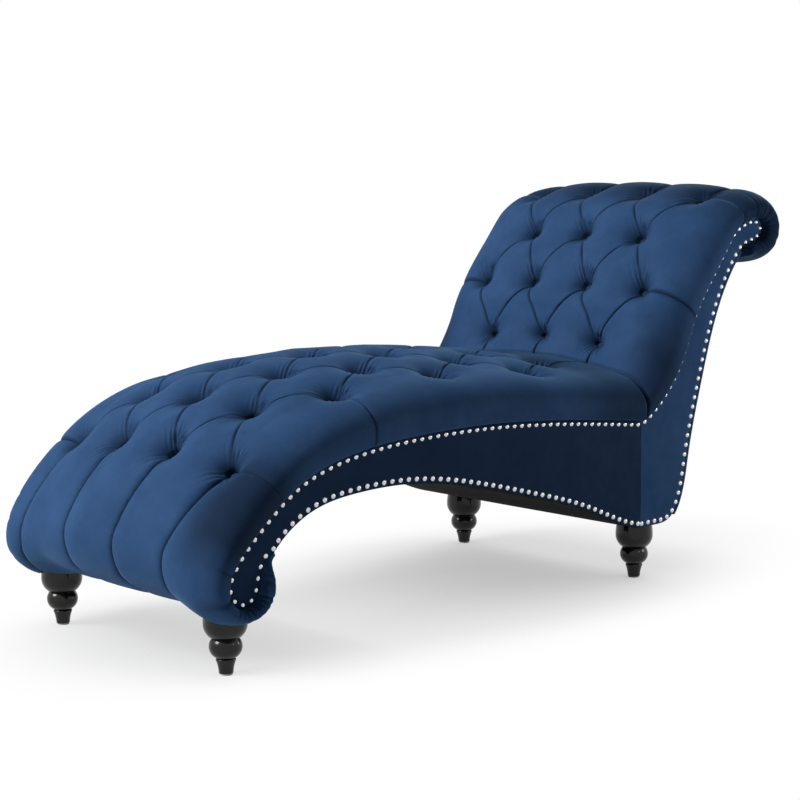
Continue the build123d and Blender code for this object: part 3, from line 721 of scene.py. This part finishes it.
def painted_crease_shade(face, fold):
    """Painted shade: darkest along the folds and deep in the funnels, also in the gathers and the shaded
    zones.
    """
    painted_shade = fold.astype(float)
    for _ in range(CREASE_ROUNDS):
        wide = np.pad(painted_shade, 1)
        beside = [wide[2:, 1:-1], wide[:-2, 1:-1], wide[1:-1, 2:], wide[1:-1, :-2]]
        painted_shade = np.maximum(painted_shade, CREASE_SPREAD * np.maximum.reduce(beside))
    for i, reach, angle in face.round_buttons():
        painted_shade = np.maximum(painted_shade, np.exp(-(reach / CREASE_R) ** 2))
    painted_shade = np.maximum(painted_shade, np.clip(-nail_gathers(face) / NAIL_GATHER, 0, 1))
    return np.maximum(painted_shade, painted_zone_shade(face))


# %% [markdown]
# ## Settling the swell
# The skin is held along the folds and under the buttons and relaxed twice: once to find how deep the folds
# draw it, and once, pushed from below, to find how full each puff is.

# %% A skin that relaxes
RELAX_ROUNDS = 260
RELAX_PULL = 1.88


def relaxed(held, value, push, gap_along, gap_across):
    """A skin that is held at some points, pushed up evenly, and relaxed until it rests."""
    skin = np.where(held, value, 0.0)
    along, over = 1 / gap_along ** 2, 1 / gap_across ** 2
    odd = np.add.outer(np.arange(held.shape[0]), np.arange(held.shape[1])) % 2
    turns = [(~held) & (odd == k) for k in (0, 1)]
    for _ in range(RELAX_ROUNDS):
        for turn in turns:
            wide = np.pad(skin, 1, mode="edge")
            pulled = along * (wide[2:, 1:-1] + wide[:-2, 1:-1]) + over * (wide[1:-1, 2:] + wide[1:-1, :-2])
            rest = (pulled + push) / (2 * (along + over))
            skin = np.where(turn, skin + RELAX_PULL * (rest - skin), skin)
    return skin


# %% The settled face
BUTTON_R, BUTTON_H = 0.011, 0.0070
BUTTON_SUNK, BUTTON_SEAT = 0.0018, 0.9
FUNNEL_BLEND = 0.004
SKIN_PUSH = 8.0
SWELL_SOFTNESS, ROLL_SOFTNESS = 0.0013, 0.0050
ROLL_REACH, ROLL_BLEND = {"seat": 0.28, "back": 0.14}, 0.12
SWELL_BACK = 1.10
SWELL_PROUD = 0.0020
FULL_HEIGHT, LEAST_LIFT = 0.07, 0.15
SEAM_BALL = {"seat": 0.012, "back": 0.004}
ROUND_MOST, ROUND_SHARE = 0.8, 0.5


def lower_of(first, second):
    """The lower of two surfaces, with a rounded change from one to the other."""
    gap = np.clip(0.5 + 0.5 * (first - second) / FUNNEL_BLEND, 0, 1)
    return first + (second - first) * gap - FUNNEL_BLEND * gap * (1 - gap)


def end_round(face, height):
    """How far the face rolls down towards the seam."""
    gap = face.curve.length - face.far if face.seam_end > 0 else face.far
    ball = SEAM_BALL[face.unit]
    inside = np.clip(ball - gap, 0, ball)
    drop = ball - np.sqrt(ball ** 2 - inside ** 2)
    return np.minimum(drop, ROUND_MOST * height)[:, None] * np.clip(face.share / ROUND_SHARE, 0, 1)


def settle(face):
    """The face's points, its folds, and its painted shade."""
    fold, depth = folds(face)
    held = fold.copy()
    held[:, 0] = held[:, -1] = True
    for i, reach, angle in face.round_buttons():
        seat = reach < BUTTON_R * BUTTON_SEAT
        held |= seat
        depth[seat] = -TUFT_DEPTH
    gap_along = float(np.mean(np.diff(face.far)))
    gap_across = float(np.mean(np.diff(face.across)))
    sunk = relaxed(held, depth, 0.0, gap_along, gap_across)
    puff = relaxed(held, 0.0, SKIN_PUSH, gap_along, gap_across)
    on_roll = 1 - rising(face.from_tip, ROLL_REACH[face.unit], ROLL_BLEND)
    full = puff / (puff + (SWELL_SOFTNESS + ROLL_SOFTNESS * on_roll)[:, None])
    lift = sunk * (1 - SWELL_BACK * full) + SWELL_PROUD * full
    lift = lower_of(lift, funnels(face)) + wrinkles(face)
    height = padding_run(face.curve, face.outline, face.far)[2]
    lift *= np.clip(height / FULL_HEIGHT, LEAST_LIFT, 1)[:, None]
    lift += nail_gathers(face)
    points = face.grid + face.outward() * (lift - end_round(face, height))[..., None]
    return points, fold, painted_crease_shade(face, fold)


# %% [markdown]
# ## Closing the tufted covers
# A grid is open below.  Each row becomes a closed ring with a few points along the deck, and a fan of faces
# shuts both ends, so that the cover is one closed, padded form.

# %% Rings round the padding
LIFT = 0.0034
UNDER_COLUMNS, UNDER_INSET = 14, 0.9945
LEG_X = 0.247
LEG_Y = {"foot": -0.6795, "head": 0.3805}
LEG_ROOM, LEG_CLEAR = 0.0395, 0.001


def under_line(face, points):
    """Points along the deck, from the left base back to the right base."""
    lean = padding_run(face.curve, face.outline, face.far)[1]
    up = np.concatenate([np.zeros((len(lean), 1)), lean], 1)[:, None, :]
    share = np.linspace(0, 1, UNDER_COLUMNS)[None, :, None]
    left, right = (points[:, side, :] * (UNDER_INSET, 1, 1) for side in (slice(-1, None), slice(1)))
    return np.concatenate([left, left + (right - left) * share + up * (LIFT + LAP), right], 1)


def clear_of_legs(points):
    """Raise what would lie inside a leg or its rail, so that the cover sits round them."""
    for x in (-LEG_X, LEG_X):
        gap = np.hypot(points[:, 0] - x, points[:, 1] - LEG_Y["foot"])
        inside = (gap < LEG_ROOM) & (points[:, 2] < LEG_HEIGHT + LEG_CLEAR)
        points[inside, 2] = LEG_HEIGHT + LEG_CLEAR
    return points


def tufted_cover(name, face, *nodes):
    """One closed tufted cover."""
    points, fold, painted_shade = settle(face)
    under = under_line(face, points)
    points, faces = closed_tube(np.concatenate([points, under], 1), fold)
    piece = make_piece(name, clear_of_legs(points), faces, finishes["velvet"])
    # The painted shade is stored on the points as the crease value, nought on the deck and the end fans.
    painted_shade = np.pad(painted_shade, ((0, 0), (0, under.shape[1]))).ravel()
    stored = piece.data.attributes.new("crease", "FLOAT", "POINT")
    stored.data.foreach_set("value", np.pad(painted_shade, (0, 2)).astype(np.float32))
    seat_piece(piece, "velvet", *nodes)


seat_face = TuftedFace("seat", seat_edge, SEAT_EDGE, SEAT_ROWS, four_first=True, roll_end=-1, seam_end=1)
back_face = TuftedFace("back", back_edge, BACK_EDGE, BACK_ROWS, four_first=False, roll_end=1, seam_end=-1)
tufted_cover("seat_tufting", seat_face, "seat_tufted_cover")
tufted_cover("back_tufting", back_face, "back_tufted_cover")

# %% Foam inside the covers
FOAM_LAYER, FOAM_SIDE, FOAM_LIFT = 0.058, 0.017, 0.0038
FOAM_STEPS, FOAM_ROWS = (5, 8), 60
FOAM_SPANS = {"seat": (0.215, seat_edge.length - 0.075), "back": (0.115, 0.530)}


def foam_block(unit, curve, outline):
    """A plain crowned foam block that fills the cover."""
    x, share = section_columns(*FOAM_STEPS, SHOULDER_SHARE[unit])[:2]
    far = np.linspace(*FOAM_SPANS[unit], FOAM_ROWS)
    grid = padding_grid(curve, outline, far, x, share, FOAM_LAYER, FOAM_SIDE)
    lean = padding_run(curve, outline, far)[1]
    grid[..., 1:] += lean[:, None, :] * (FOAM_LIFT * (1 - share))[None, :, None]
    points, faces = closed_tube(grid)
    piece = make_piece(f"{unit}_foam_block", points, faces, finishes["foam"])
    seat_piece(piece, "foam", f"{unit}_foam")


foam_block("seat", seat_edge, SEAT_EDGE)
foam_block("back", back_edge, BACK_EDGE)

# %% [markdown]
# ## Covered buttons
# Each button is a small velvet-covered dome at the bottom of its tuft.  They are all alike, so a Geometry
# Nodes tree puts one dome on every marked point and turns it along the stored aim.

# %% A node tree that sets domes on points
DOME_INPUTS = [
    ("Points", "Geometry", None),
    ("Radius", "Float", 0.01),
    ("Height", "Float", 0.005),
    ("Tilt", "Float", 0.0),
    ("Seed", "Int", 3),
    ("Finish", "Material", None),
]


def dome_nodes(tree, given, segments, rings):
    """Half a ball, scaled to the given radius and height."""
    ball = add_node(tree, "GeometryNodeMeshUVSphere", {"Segments": segments, "Rings": rings, "Radius": 1.0})
    place = add_node(tree, "GeometryNodeInputPosition", {})
    rise = add_node(tree, "ShaderNodeSeparateXYZ", {"Vector": place}).outputs["Z"]
    low = add_node(tree, "FunctionNodeCompare", {"A": rise, "B": -0.01}, operation="LESS_THAN")
    cut = add_node(tree, "GeometryNodeDeleteGeometry", {"Geometry": ball, "Selection": low})
    size = add_node(tree, "ShaderNodeCombineXYZ", {
        "X": given["Radius"], "Y": given["Radius"], "Z": given["Height"]})
    return add_node(tree, "GeometryNodeTransform", {"Geometry": cut, "Scale": size})


def dome_tree(name, segments, rings):
    """Domes on the points of a mesh, each turned along the stored aim, with a slight seeded tilt."""
    tree = bpy.data.node_groups.new(name, "GeometryNodeTree")
    for label, kind, value in DOME_INPUTS:
        socket = tree.interface.new_socket(label, in_out="INPUT", socket_type=f"NodeSocket{kind}")
        if value is not None:
            socket.default_value = value
    tree.interface.new_socket("Domes", in_out="OUTPUT", socket_type="NodeSocketGeometry")
    given = add_node(tree, "NodeGroupInput", {}).outputs
    aim = add_node(tree, "GeometryNodeInputNamedAttribute", {"Name": "aim"}, data_type="FLOAT_VECTOR")
    chance = add_node(tree, "FunctionNodeRandomValue", {
        "Min": (-1, -1, -1), "Seed": given["Seed"]}, data_type="FLOAT_VECTOR")
    tilt = add_node(tree, "ShaderNodeVectorMath", {
        "Vector": chance, "Scale": given["Tilt"]}, operation="SCALE")
    swayed = add_node(tree, "ShaderNodeVectorMath", {0: aim, 1: tilt})
    turn = add_node(tree, "FunctionNodeAlignRotationToVector", {"Vector": swayed}, axis="Z")
    put = add_node(tree, "GeometryNodeInstanceOnPoints", {
        "Points": given["Points"],
        "Instance": dome_nodes(tree, given, segments, rings),
        "Rotation": turn,
    })
    real = add_node(tree, "GeometryNodeRealizeInstances", {"Geometry": put})
    smooth = add_node(tree, "GeometryNodeSetShadeSmooth", {"Geometry": real})
    paint = add_node(tree, "GeometryNodeSetMaterial", {"Geometry": smooth, "Material": given["Finish"]})
    add_node(tree, "NodeGroupOutput", {"Domes": paint})
    return tree


def grow_domes(name, tree, points, aims, radius, height, tilt, finish):
    """Run a dome tree on points and keep the result as a plain mesh."""
    mesh = bpy.data.meshes.new(name)
    mesh.from_pydata(np.asarray(points).tolist(), [], [])
    stored = mesh.attributes.new("aim", "FLOAT_VECTOR", "POINT")
    stored.data.foreach_set("vector", np.asarray(aims, np.float32).ravel())
    piece = put_in_scene(name, mesh)
    run = piece.modifiers.new("domes", "NODES")
    run.node_group = tree
    sockets = {s.name: s.identifier for s in tree.interface.items_tree if s.in_out == "INPUT"}
    for label, value in (("Radius", radius), ("Height", height), ("Tilt", tilt), ("Finish", finish)):
        run[sockets[label]] = value
    shown = piece.evaluated_get(bpy.context.evaluated_depsgraph_get())
    made = bpy.data.meshes.new_from_object(shown)
    piece.modifiers.remove(run)
    piece.data = made
    made.name = name
    return piece


# %% Buttons on the tufts' floors
BUTTON_TILT = 0.06
button_tree = dome_tree("covered_buttons", segments=20, rings=12)


def covered_buttons(name, face, node):
    """One face's buttons, each on the floor of its tuft."""
    points, aims = [], []
    outward = face.outward()
    for i, j, n in face.buttons():
        points.append(face.grid[i, j] - outward[i, j] * (TUFT_DEPTH + BUTTON_SUNK))
        aims.append(outward[i, j])
    piece = grow_domes(name, button_tree, points, aims, BUTTON_R, BUTTON_H, BUTTON_TILT, shaded_button_velvet)
    seat_piece(piece, "velvet", node)


covered_buttons("seat_covered_buttons", seat_face, "seat_buttons")
covered_buttons("back_covered_buttons", back_face, "back_buttons")

# %% [markdown]
# ## Side panels and their nails
# A flat velvet panel closes each side of each unit.  Its outline comes from the same lines as the frame
# board, and a constrained triangulation fills it, with extra points round the nails, which pucker the cloth.

# %% Nail places
NAIL_R, NAIL_H, NAIL_TILT = 0.0052, 0.0036, 0.08
NAIL_PITCH, LINE_STEPS = 0.020, 600
NAIL_INSET = 0.008
HEEL_NAILS = 3
PANEL_X = 0.300


def nail_line(curve, inset, start, end):
    """Evenly spaced nails along a stretch of an outline, inset from it."""
    dense = curve.beside(np.linspace(start, end, LINE_STEPS), inset)
    far = run_along(dense)
    return read_along(np.linspace(0, far[-1], round(far[-1] / NAIL_PITCH) + 1), far, dense)


heel = back_rear.points[-1]
heel_nails = np.array([(heel[0] - (i + 1) * NAIL_PITCH, heel[1] + NAIL_INSET) for i in range(HEEL_NAILS)])
NAILS = {
    "seat": np.concatenate([
        nail_line(seat_edge, -NAIL_INSET, 0, seat_edge.length - NAIL_INSET),
        nail_line(seat_arch, NAIL_INSET, NAIL_PITCH, seat_arch.length - NAIL_INSET),
    ]),
    "back": np.concatenate([
        nail_line(back_edge, -NAIL_INSET, NAIL_INSET, back_edge.length),
        nail_line(back_rear, -NAIL_INSET, NAIL_PITCH, back_rear.length),
        heel_nails,
    ]),
}
nail_tree = dome_tree("domed_nails", segments=12, rings=8)
for unit in ("seat", "back"):
    for side, sign in SIDES:
        spots = NAILS[unit]
        points = np.concatenate([np.full((len(spots), 1), sign * PANEL_X), spots], 1)
        aims = np.tile((sign, 0, 0), (len(spots), 1))
        piece = grow_domes(f"{unit}_nail_trim_{side}", nail_tree, points, aims, NAIL_R, NAIL_H, NAIL_TILT,
                           finishes["nail_chrome"])
        seat_piece(piece, "nail_chrome", f"{unit}_nails_{side}")

# %% Points of a panel
PANEL_STEP = 0.008
RING_R, RING_CLEAR, RIM_CLEAR = 0.0085, 0.010, 0.0035
LOOP_STEP, LEAST_STEP = 8, 0.0004


def loop_of(unit):
    """The panel's outline as one closed loop of points."""
    if unit == "seat":
        parts = [seat_edge.points[::LOOP_STEP], seat_arch.points[::-LOOP_STEP]]
    else:
        toe = np.array([[SEAM_Y + UNIT_GAP, LEG_HEIGHT]])
        parts = [back_edge.points[::LOOP_STEP], back_rear.points[LOOP_STEP::LOOP_STEP], toe]
    loop = np.concatenate(parts)
    keep = np.linalg.norm(loop - np.roll(loop, 1, axis=0), axis=1) > LEAST_STEP
    return loop[keep]


def inside_loop(points, loop):
    """Which points lie inside a closed loop."""
    found = np.zeros(len(points), bool)
    for (y0, z0), (y1, z1) in zip(loop, np.roll(loop, -1, axis=0)):
        if z0 != z1:
            crosses = (points[:, 1] < z0) != (points[:, 1] < z1)
            found ^= crosses & (points[:, 0] < (y1 - y0) * (points[:, 1] - z0) / (z1 - z0) + y0)
    return found


def nearest(points, spots):
    """Distance from each point to the nearest spot."""
    best = np.full(len(points), np.inf)
    for spot in spots:
        best = np.minimum(best, np.hypot(points[:, 0] - spot[0], points[:, 1] - spot[1]))
    return best


def panel_points(loop, nails):
    """A staggered field of points inside the outline, finer round the nails."""
    low, high = loop.min(0), loop.max(0)
    rows = np.arange(low[1], high[1], PANEL_STEP)
    field = [(y + (k % 2) * PANEL_STEP / 2, z) for k, z in enumerate(rows)
             for y in np.arange(low[0], high[0], PANEL_STEP)]
    rings = [(y + RING_R * cos(a), z + RING_R * sin(a)) for y, z in nails for a in np.arange(6) * pi / 3]
    field = np.array(field)
    field = field[nearest(field, nails) > RING_CLEAR]
    field = np.concatenate([field, np.array(rings), nails])
    field = field[inside_loop(field, loop)]
    return field[nearest(field, loop) > RIM_CLEAR]


# %% The side panels
PANEL_T = 0.002
PUCKER, PUCKER_R = 0.0009, 0.0075
CROWN, CROWN_RUN, RIM_DROP, RIM_RUN = 0.0012, 0.006, 0.0008, 0.0015
SUNK = 0.0004


def side_panel(unit):
    """Both velvet side panels of a unit."""
    loop = loop_of(unit)
    field = panel_points(loop, NAILS[unit])
    flat = np.concatenate([loop, field])
    rim = [(i, (i + 1) % len(loop)) for i in range(len(loop))]
    made = delaunay_2d_cdt([Vector(p) for p in flat], rim, [], 1, 1e-6)
    spots = np.array([tuple(v) for v in made[0]])
    faces = [tuple(f) for f in made[2]]
    edge = nearest(spots, loop)
    crown = CROWN * (1 - np.exp(-edge / CROWN_RUN)) - RIM_DROP * np.exp(-edge / RIM_RUN)
    dent = PUCKER * np.exp(-(nearest(spots, NAILS[unit]) / PUCKER_R) ** 2)
    front = PANEL_X - SUNK + crown - dent
    edges = dict.fromkeys(pair for f in faces for pair in zip(f, f[1:] + f[:1]))
    border = [(a, b) for a, b in edges if (b, a) not in edges]
    count = len(spots)
    x = np.concatenate([front, np.full(count, PANEL_X - PANEL_T)])
    points = np.column_stack([x, np.tile(spots, (2, 1))])
    faces += [tuple(v + count for v in f[::-1]) for f in faces]
    faces += [(b, a, a + count, b + count) for a, b in border]
    for side, sign in SIDES:
        turned = [f[::sign] for f in faces]
        piece = make_piece(f"{unit}_side_panel_{side}", points * (sign, 1, 1), turned, lit_and_shaded_panel_velvet[unit])
        piece.data.set_sharp_from_angle(angle=radians(60))
        seat_piece(piece, "velvet", f"{unit}_side_cover_{side}")


side_panel("seat")
side_panel("back")

# %% [markdown]
# ## Outside back and dust cloths
# The rear of the back is one velvet sheet pulled tight over a hardboard lining.  Black dust cloth closes
# the underside, and sags a little between its staples.

# %% Sheets that follow a line
HEM = 0.0016
SHEET_ROWS, SHEET_COLUMNS = 160, 86
UNEVEN, WAVES_ALONG, WAVES_ACROSS = 0.25, 60, 35


def laid_sheet(name, curve, span, offset, half_width, thickness, ripple, finish, turned_in=0.0):
    """A thin closed sheet along a stretch of an outline; its side edges may be turned in."""
    far = np.linspace(*span, SHEET_ROWS)
    hem = np.array([half_width - HEM, half_width])
    inner = half_width - 2 * HEM
    x = np.concatenate([-hem[::-1], np.linspace(-inner, inner, SHEET_COLUMNS), hem])
    base, normal = curve.at(far), curve.normal(far)
    wave = ripple * np.outer(np.sin(np.linspace(0, pi, len(far))), np.sin(np.linspace(0, pi, len(x))))
    wave *= 1 + UNEVEN * np.sin(np.add.outer(far * WAVES_ALONG, x * WAVES_ACROSS))
    layers = []
    for amount, drop in ((offset + thickness, 0.0), (offset, turned_in)):
        out = amount + wave - np.where(abs(x) > half_width - 1.5 * HEM, drop, 0.0)
        layer = np.empty((len(far), len(x), 3))
        layer[..., 0] = x
        layer[..., 1:] = base[:, None, :] + normal[:, None, :] * out[..., None]
        layers.append(layer)
    piece = make_piece(name, *closed_tube(np.concatenate([layers[0], layers[1][:, ::-1]], 1)), finish)
    work = bmesh.new()
    work.from_mesh(piece.data)
    bmesh.ops.recalc_face_normals(work, faces=work.faces)
    work.to_mesh(piece.data)
    work.free()
    piece.data.set_sharp_from_angle(angle=radians(50))
    return piece, (2 * half_width, float(span[1] - span[0]))


rear_span = (0.003, back_rear.length - 0.045)
outside_back, rear_flat = laid_sheet(
    "outside_back_velvet", back_rear, rear_span, offset=0.0033, half_width=PANEL_X, thickness=PANEL_T,
    ripple=0.0015, finish=finishes["velvet"], turned_in=0.0031)
seat_piece(outside_back, "velvet", "outside_back_cover")

dust_span = (0.0015, seat_arch.length - 0.003)
dust, dust_flat = laid_sheet(
    "seat_dust_cloth", seat_arch, dust_span, offset=-0.0012, half_width=0.2975, thickness=0.0009,
    ripple=-0.0025, finish=finishes["dust_cloth"])
seat_piece(dust, "dust_cloth", "seat_dust_cover")

low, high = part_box("back_dust_cover")
heel_line = OutlineCurve([(y, low.z - LEG_HEIGHT) for y in np.linspace(low.y, high.y, 4)])
heel_span = (0.0, heel_line.length)
heel_dust, heel_flat = laid_sheet(
    "back_dust_cloth", heel_line, heel_span, offset=0.0, half_width=high.x, thickness=high.z - low.z,
    ripple=-0.0015, finish=finishes["dust_cloth"])
seat_piece(heel_dust, "dust_cloth", "back_dust_cover")

# %% [markdown]
# ## Turned legs
# Each leg is turned in one piece: a bowl over a ball over a tapered toe.  A half outline of arcs is spun
# round the leg's axis, with close steps so that its gloss runs round without facets.

# %% Spinning a leg
LEG_TURNS, ARC_STEPS = 72, 14
LEG_ARCS = [
    ((0.0125, 0.0031), (0.0139, 0.0140), (0.0172, 0.0250)),
    ((0.0172, 0.0250), (0.0172, 0.0270), (0.0155, 0.0290)),
    ((0.0155, 0.0290), (0.0285, 0.0460), (0.0235, 0.0630)),
    ((0.0235, 0.0630), (0.0342, 0.0740), (0.0380, 0.0910)),
    ((0.0380, 0.0910), (0.0372, 0.1030), (0.0345, 0.1158)),
]


def arc_points(start, through, end, count):
    """Points on the circle arc through three points, without the last one."""
    a, b, c = (complex(*p) for p in (start, through, end))
    ratio = (c - a) / (b - a)
    middle = a + (b - a) * (ratio - abs(ratio) ** 2) / (ratio - ratio.conjugate())
    first = np.angle(a - middle)
    to_b, to_c = (np.angle((p - middle) / (a - middle)) for p in (b, c))
    if to_b * to_c < 0 or abs(to_b) > abs(to_c):
        to_c -= 2 * pi * np.sign(to_c)
    turns = first + to_c * np.arange(count) / count
    spots = middle + abs(a - middle) * np.exp(1j * turns)
    return [(s.real, s.imag) for s in spots]


def turned_leg(name, x, y, node):
    """One leg, spun from its half outline."""
    profile = [p for arc in LEG_ARCS for p in arc_points(*arc, ARC_STEPS)] + [LEG_ARCS[-1][-1]]
    turns = np.arange(LEG_TURNS) * 2 * pi / LEG_TURNS
    rings = np.array([[(x + r * cos(t), y + r * sin(t), z) for t in turns] for r, z in profile])
    piece = make_piece(name, *closed_tube(rings), finishes["leg_wood"])
    piece.data.set_sharp_from_angle(angle=radians(38))
    seat_piece(piece, "leg_wood", node)


for end, y in LEG_Y.items():
    for side, sign in SIDES:
        turned_leg(f"{end}_turned_leg_{side}", sign * LEG_X, y, f"{end}_leg_{side}")

# %% [markdown]
# ## Finishes for what stays from the frame
# The timber, fixings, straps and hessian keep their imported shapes, and each gets the finish of its slot.

# %% Paint the carried-over nodes
for part in frame["record"]["subparts"]:
    mesh = frame["nodes"][part["node"]].data
    mesh.materials.clear()
    mesh.materials.append(finishes[part["material_slot"]])

# %% [markdown]
# ## Floor, light and camera
# The chaise stands on a white studio floor, softly shaded under it by its cast shadow and by a painted
# shadow.  The key is a large softbox far off at the front left.  Weak ones help from above and from behind,
# and two small ones pick out the side of the back and the legs.  The camera's place, aim and lens match the
# photograph.

# %% Floor and world
FLOOR_SIZE = 30.0
FLOOR_LIFT = 0.86
# Painted shadow on the floor: its depth, the reach of the occlusion and its samples.
FLOOR_SHADE, SHADE_REACH, SHADE_SAMPLES = 0.58, 0.31, 16
FLOOR_FADE = (0.64, 1.14)
FLOOR_REACH = (0.5, 1.0, 1.0)
FLOOR_SEEN, FLOOR_BOUNCE = 0.16, 0.70
AMBIENT = 0.04


def seen_directly(tree):
    """One for rays from the camera, mirrors and glass, nought for rays of light."""
    path = add_node(tree, "ShaderNodeLightPath", {}).outputs
    either = path["Is Camera Ray"]
    for kind in ("Is Glossy Ray", "Is Transmission Ray"):
        either = add_node(tree, "ShaderNodeMath", {0: either, 1: path[kind]}, operation="MAXIMUM")
    return either


def blend(tree, factor, low, high):
    """A number that goes from low to high with a factor."""
    return add_node(tree, "ShaderNodeMix", {"Factor": factor, "A": low, "B": high})


def floor_finish():
    """White paper that keeps the chaise's cast shadow and a painted shadow round it, and is plain white
    further off.
    """
    finish, tree, shader = new_finish("studio_floor")
    where = add_node(tree, "ShaderNodeTexCoord", {}).outputs["Object"]
    shrunk = add_node(tree, "ShaderNodeVectorMath", {0: where, 1: FLOOR_REACH}, operation="DIVIDE")
    gap = add_node(tree, "ShaderNodeVectorMath", {0: shrunk}, operation="LENGTH").outputs["Value"]
    fade = add_node(tree, "ShaderNodeMapRange", {
        "Value": gap, "From Min": FLOOR_FADE[0], "From Max": FLOOR_FADE[1],
    }, interpolation_type="SMOOTHSTEP")
    # Painted shadow: ambient occlusion dims the floor's glow under and round the chaise.
    painted_floor_shadow = add_node(tree, "ShaderNodeAmbientOcclusion", {"Distance": SHADE_REACH}, samples=SHADE_SAMPLES)
    shaded = blend(tree, painted_floor_shadow.outputs["AO"], FLOOR_LIFT * (1 - FLOOR_SHADE), FLOOR_LIFT)
    seen = seen_directly(tree)
    set_inputs(tree, shader, {
        "Base Color": blend(tree, seen, FLOOR_BOUNCE, blend(tree, fade, FLOOR_SEEN, 0.0)),
        "Roughness": 0.9,
        "Specular IOR Level": 0.0,
    })
    lift = blend(tree, fade, shaded, 1.0)
    glow = add_node(tree, "ShaderNodeEmission", {"Strength": blend(tree, seen, 0.0, lift)})
    both = add_node(tree, "ShaderNodeAddShader", {0: shader, 1: glow})
    set_inputs(tree, tree.nodes["Material Output"], {"Surface": both})
    return finish


half = FLOOR_SIZE / 2
corners = [(-half, -half, 0), (half, -half, 0), (half, half, 0), (-half, half, 0)]
floor = make_piece("studio_floor", corners, [(0, 1, 2, 3)], floor_finish())

world = bpy.data.worlds.new("studio")
bpy.context.scene.world = world
world.use_nodes = True
sky = world.node_tree
light = blend(sky, seen_directly(sky), AMBIENT, 1.0)
set_inputs(sky, sky.nodes["Background"], {"Color": (1, 1, 1, 1), "Strength": light})
print("floor and world set")

# %% Softboxes, each with its place, size and power
LAMP_AIM = Vector((0, -0.1, 0.35))
SOFTBOXES = {
    "key_softbox": ((-2.3, -5.8, 4.9), 3.0, 625),
    "top_softbox": ((-0.6, -1.9, 2.9), 2.0, 12),
    "side_softbox": ((0.95, 1.05, 0.50), 0.35, 2.6),
    "leg_softbox": ((2.6, 0.3, 1.3), 0.3, 2.5),
    "rear_softbox": ((-1.4, 3.2, 2.4), 1.6, 8),
}
for name, (place, size, power) in SOFTBOXES.items():
    lamp = bpy.data.lights.new(name, "AREA")
    lamp.shape = "SQUARE"
    lamp.size = size
    lamp.energy = power
    holder = put_in_scene(name, lamp)
    holder.location = place
    holder.visible_camera = False
    holder.rotation_euler = (LAMP_AIM - Vector(place)).to_track_quat("-Z", "Y").to_euler()
print("softboxes:", len(SOFTBOXES))

# %% Camera
CAMERA_AT = (2.7957, -2.6489, 0.8865)
CAMERA_RIGHT = (0.68261, 0.73074, -0.00786)
CAMERA_UP = (-0.08991, 0.09464, 0.99144)
CAMERA_AHEAD = (-0.72523, 0.67606, -0.13031)
LENS = 87.75

eye = bpy.data.cameras.new("photo_camera")
eye.lens = LENS
eye.sensor_width = 36.0
camera = put_in_scene("photo_camera", eye)
turn = Matrix((CAMERA_RIGHT, CAMERA_UP, [-v for v in CAMERA_AHEAD])).transposed()
camera.matrix_world = Matrix.Translation(CAMERA_AT) @ turn.to_4x4()
bpy.context.scene.camera = camera
bpy.context.scene.view_settings.view_transform = "Standard"
print("camera set")

# %% [markdown]
# ## Last step
# The dressed chaise has to keep the frame's size.

# %% Bring the scene up to date
bpy.context.view_layer.update()
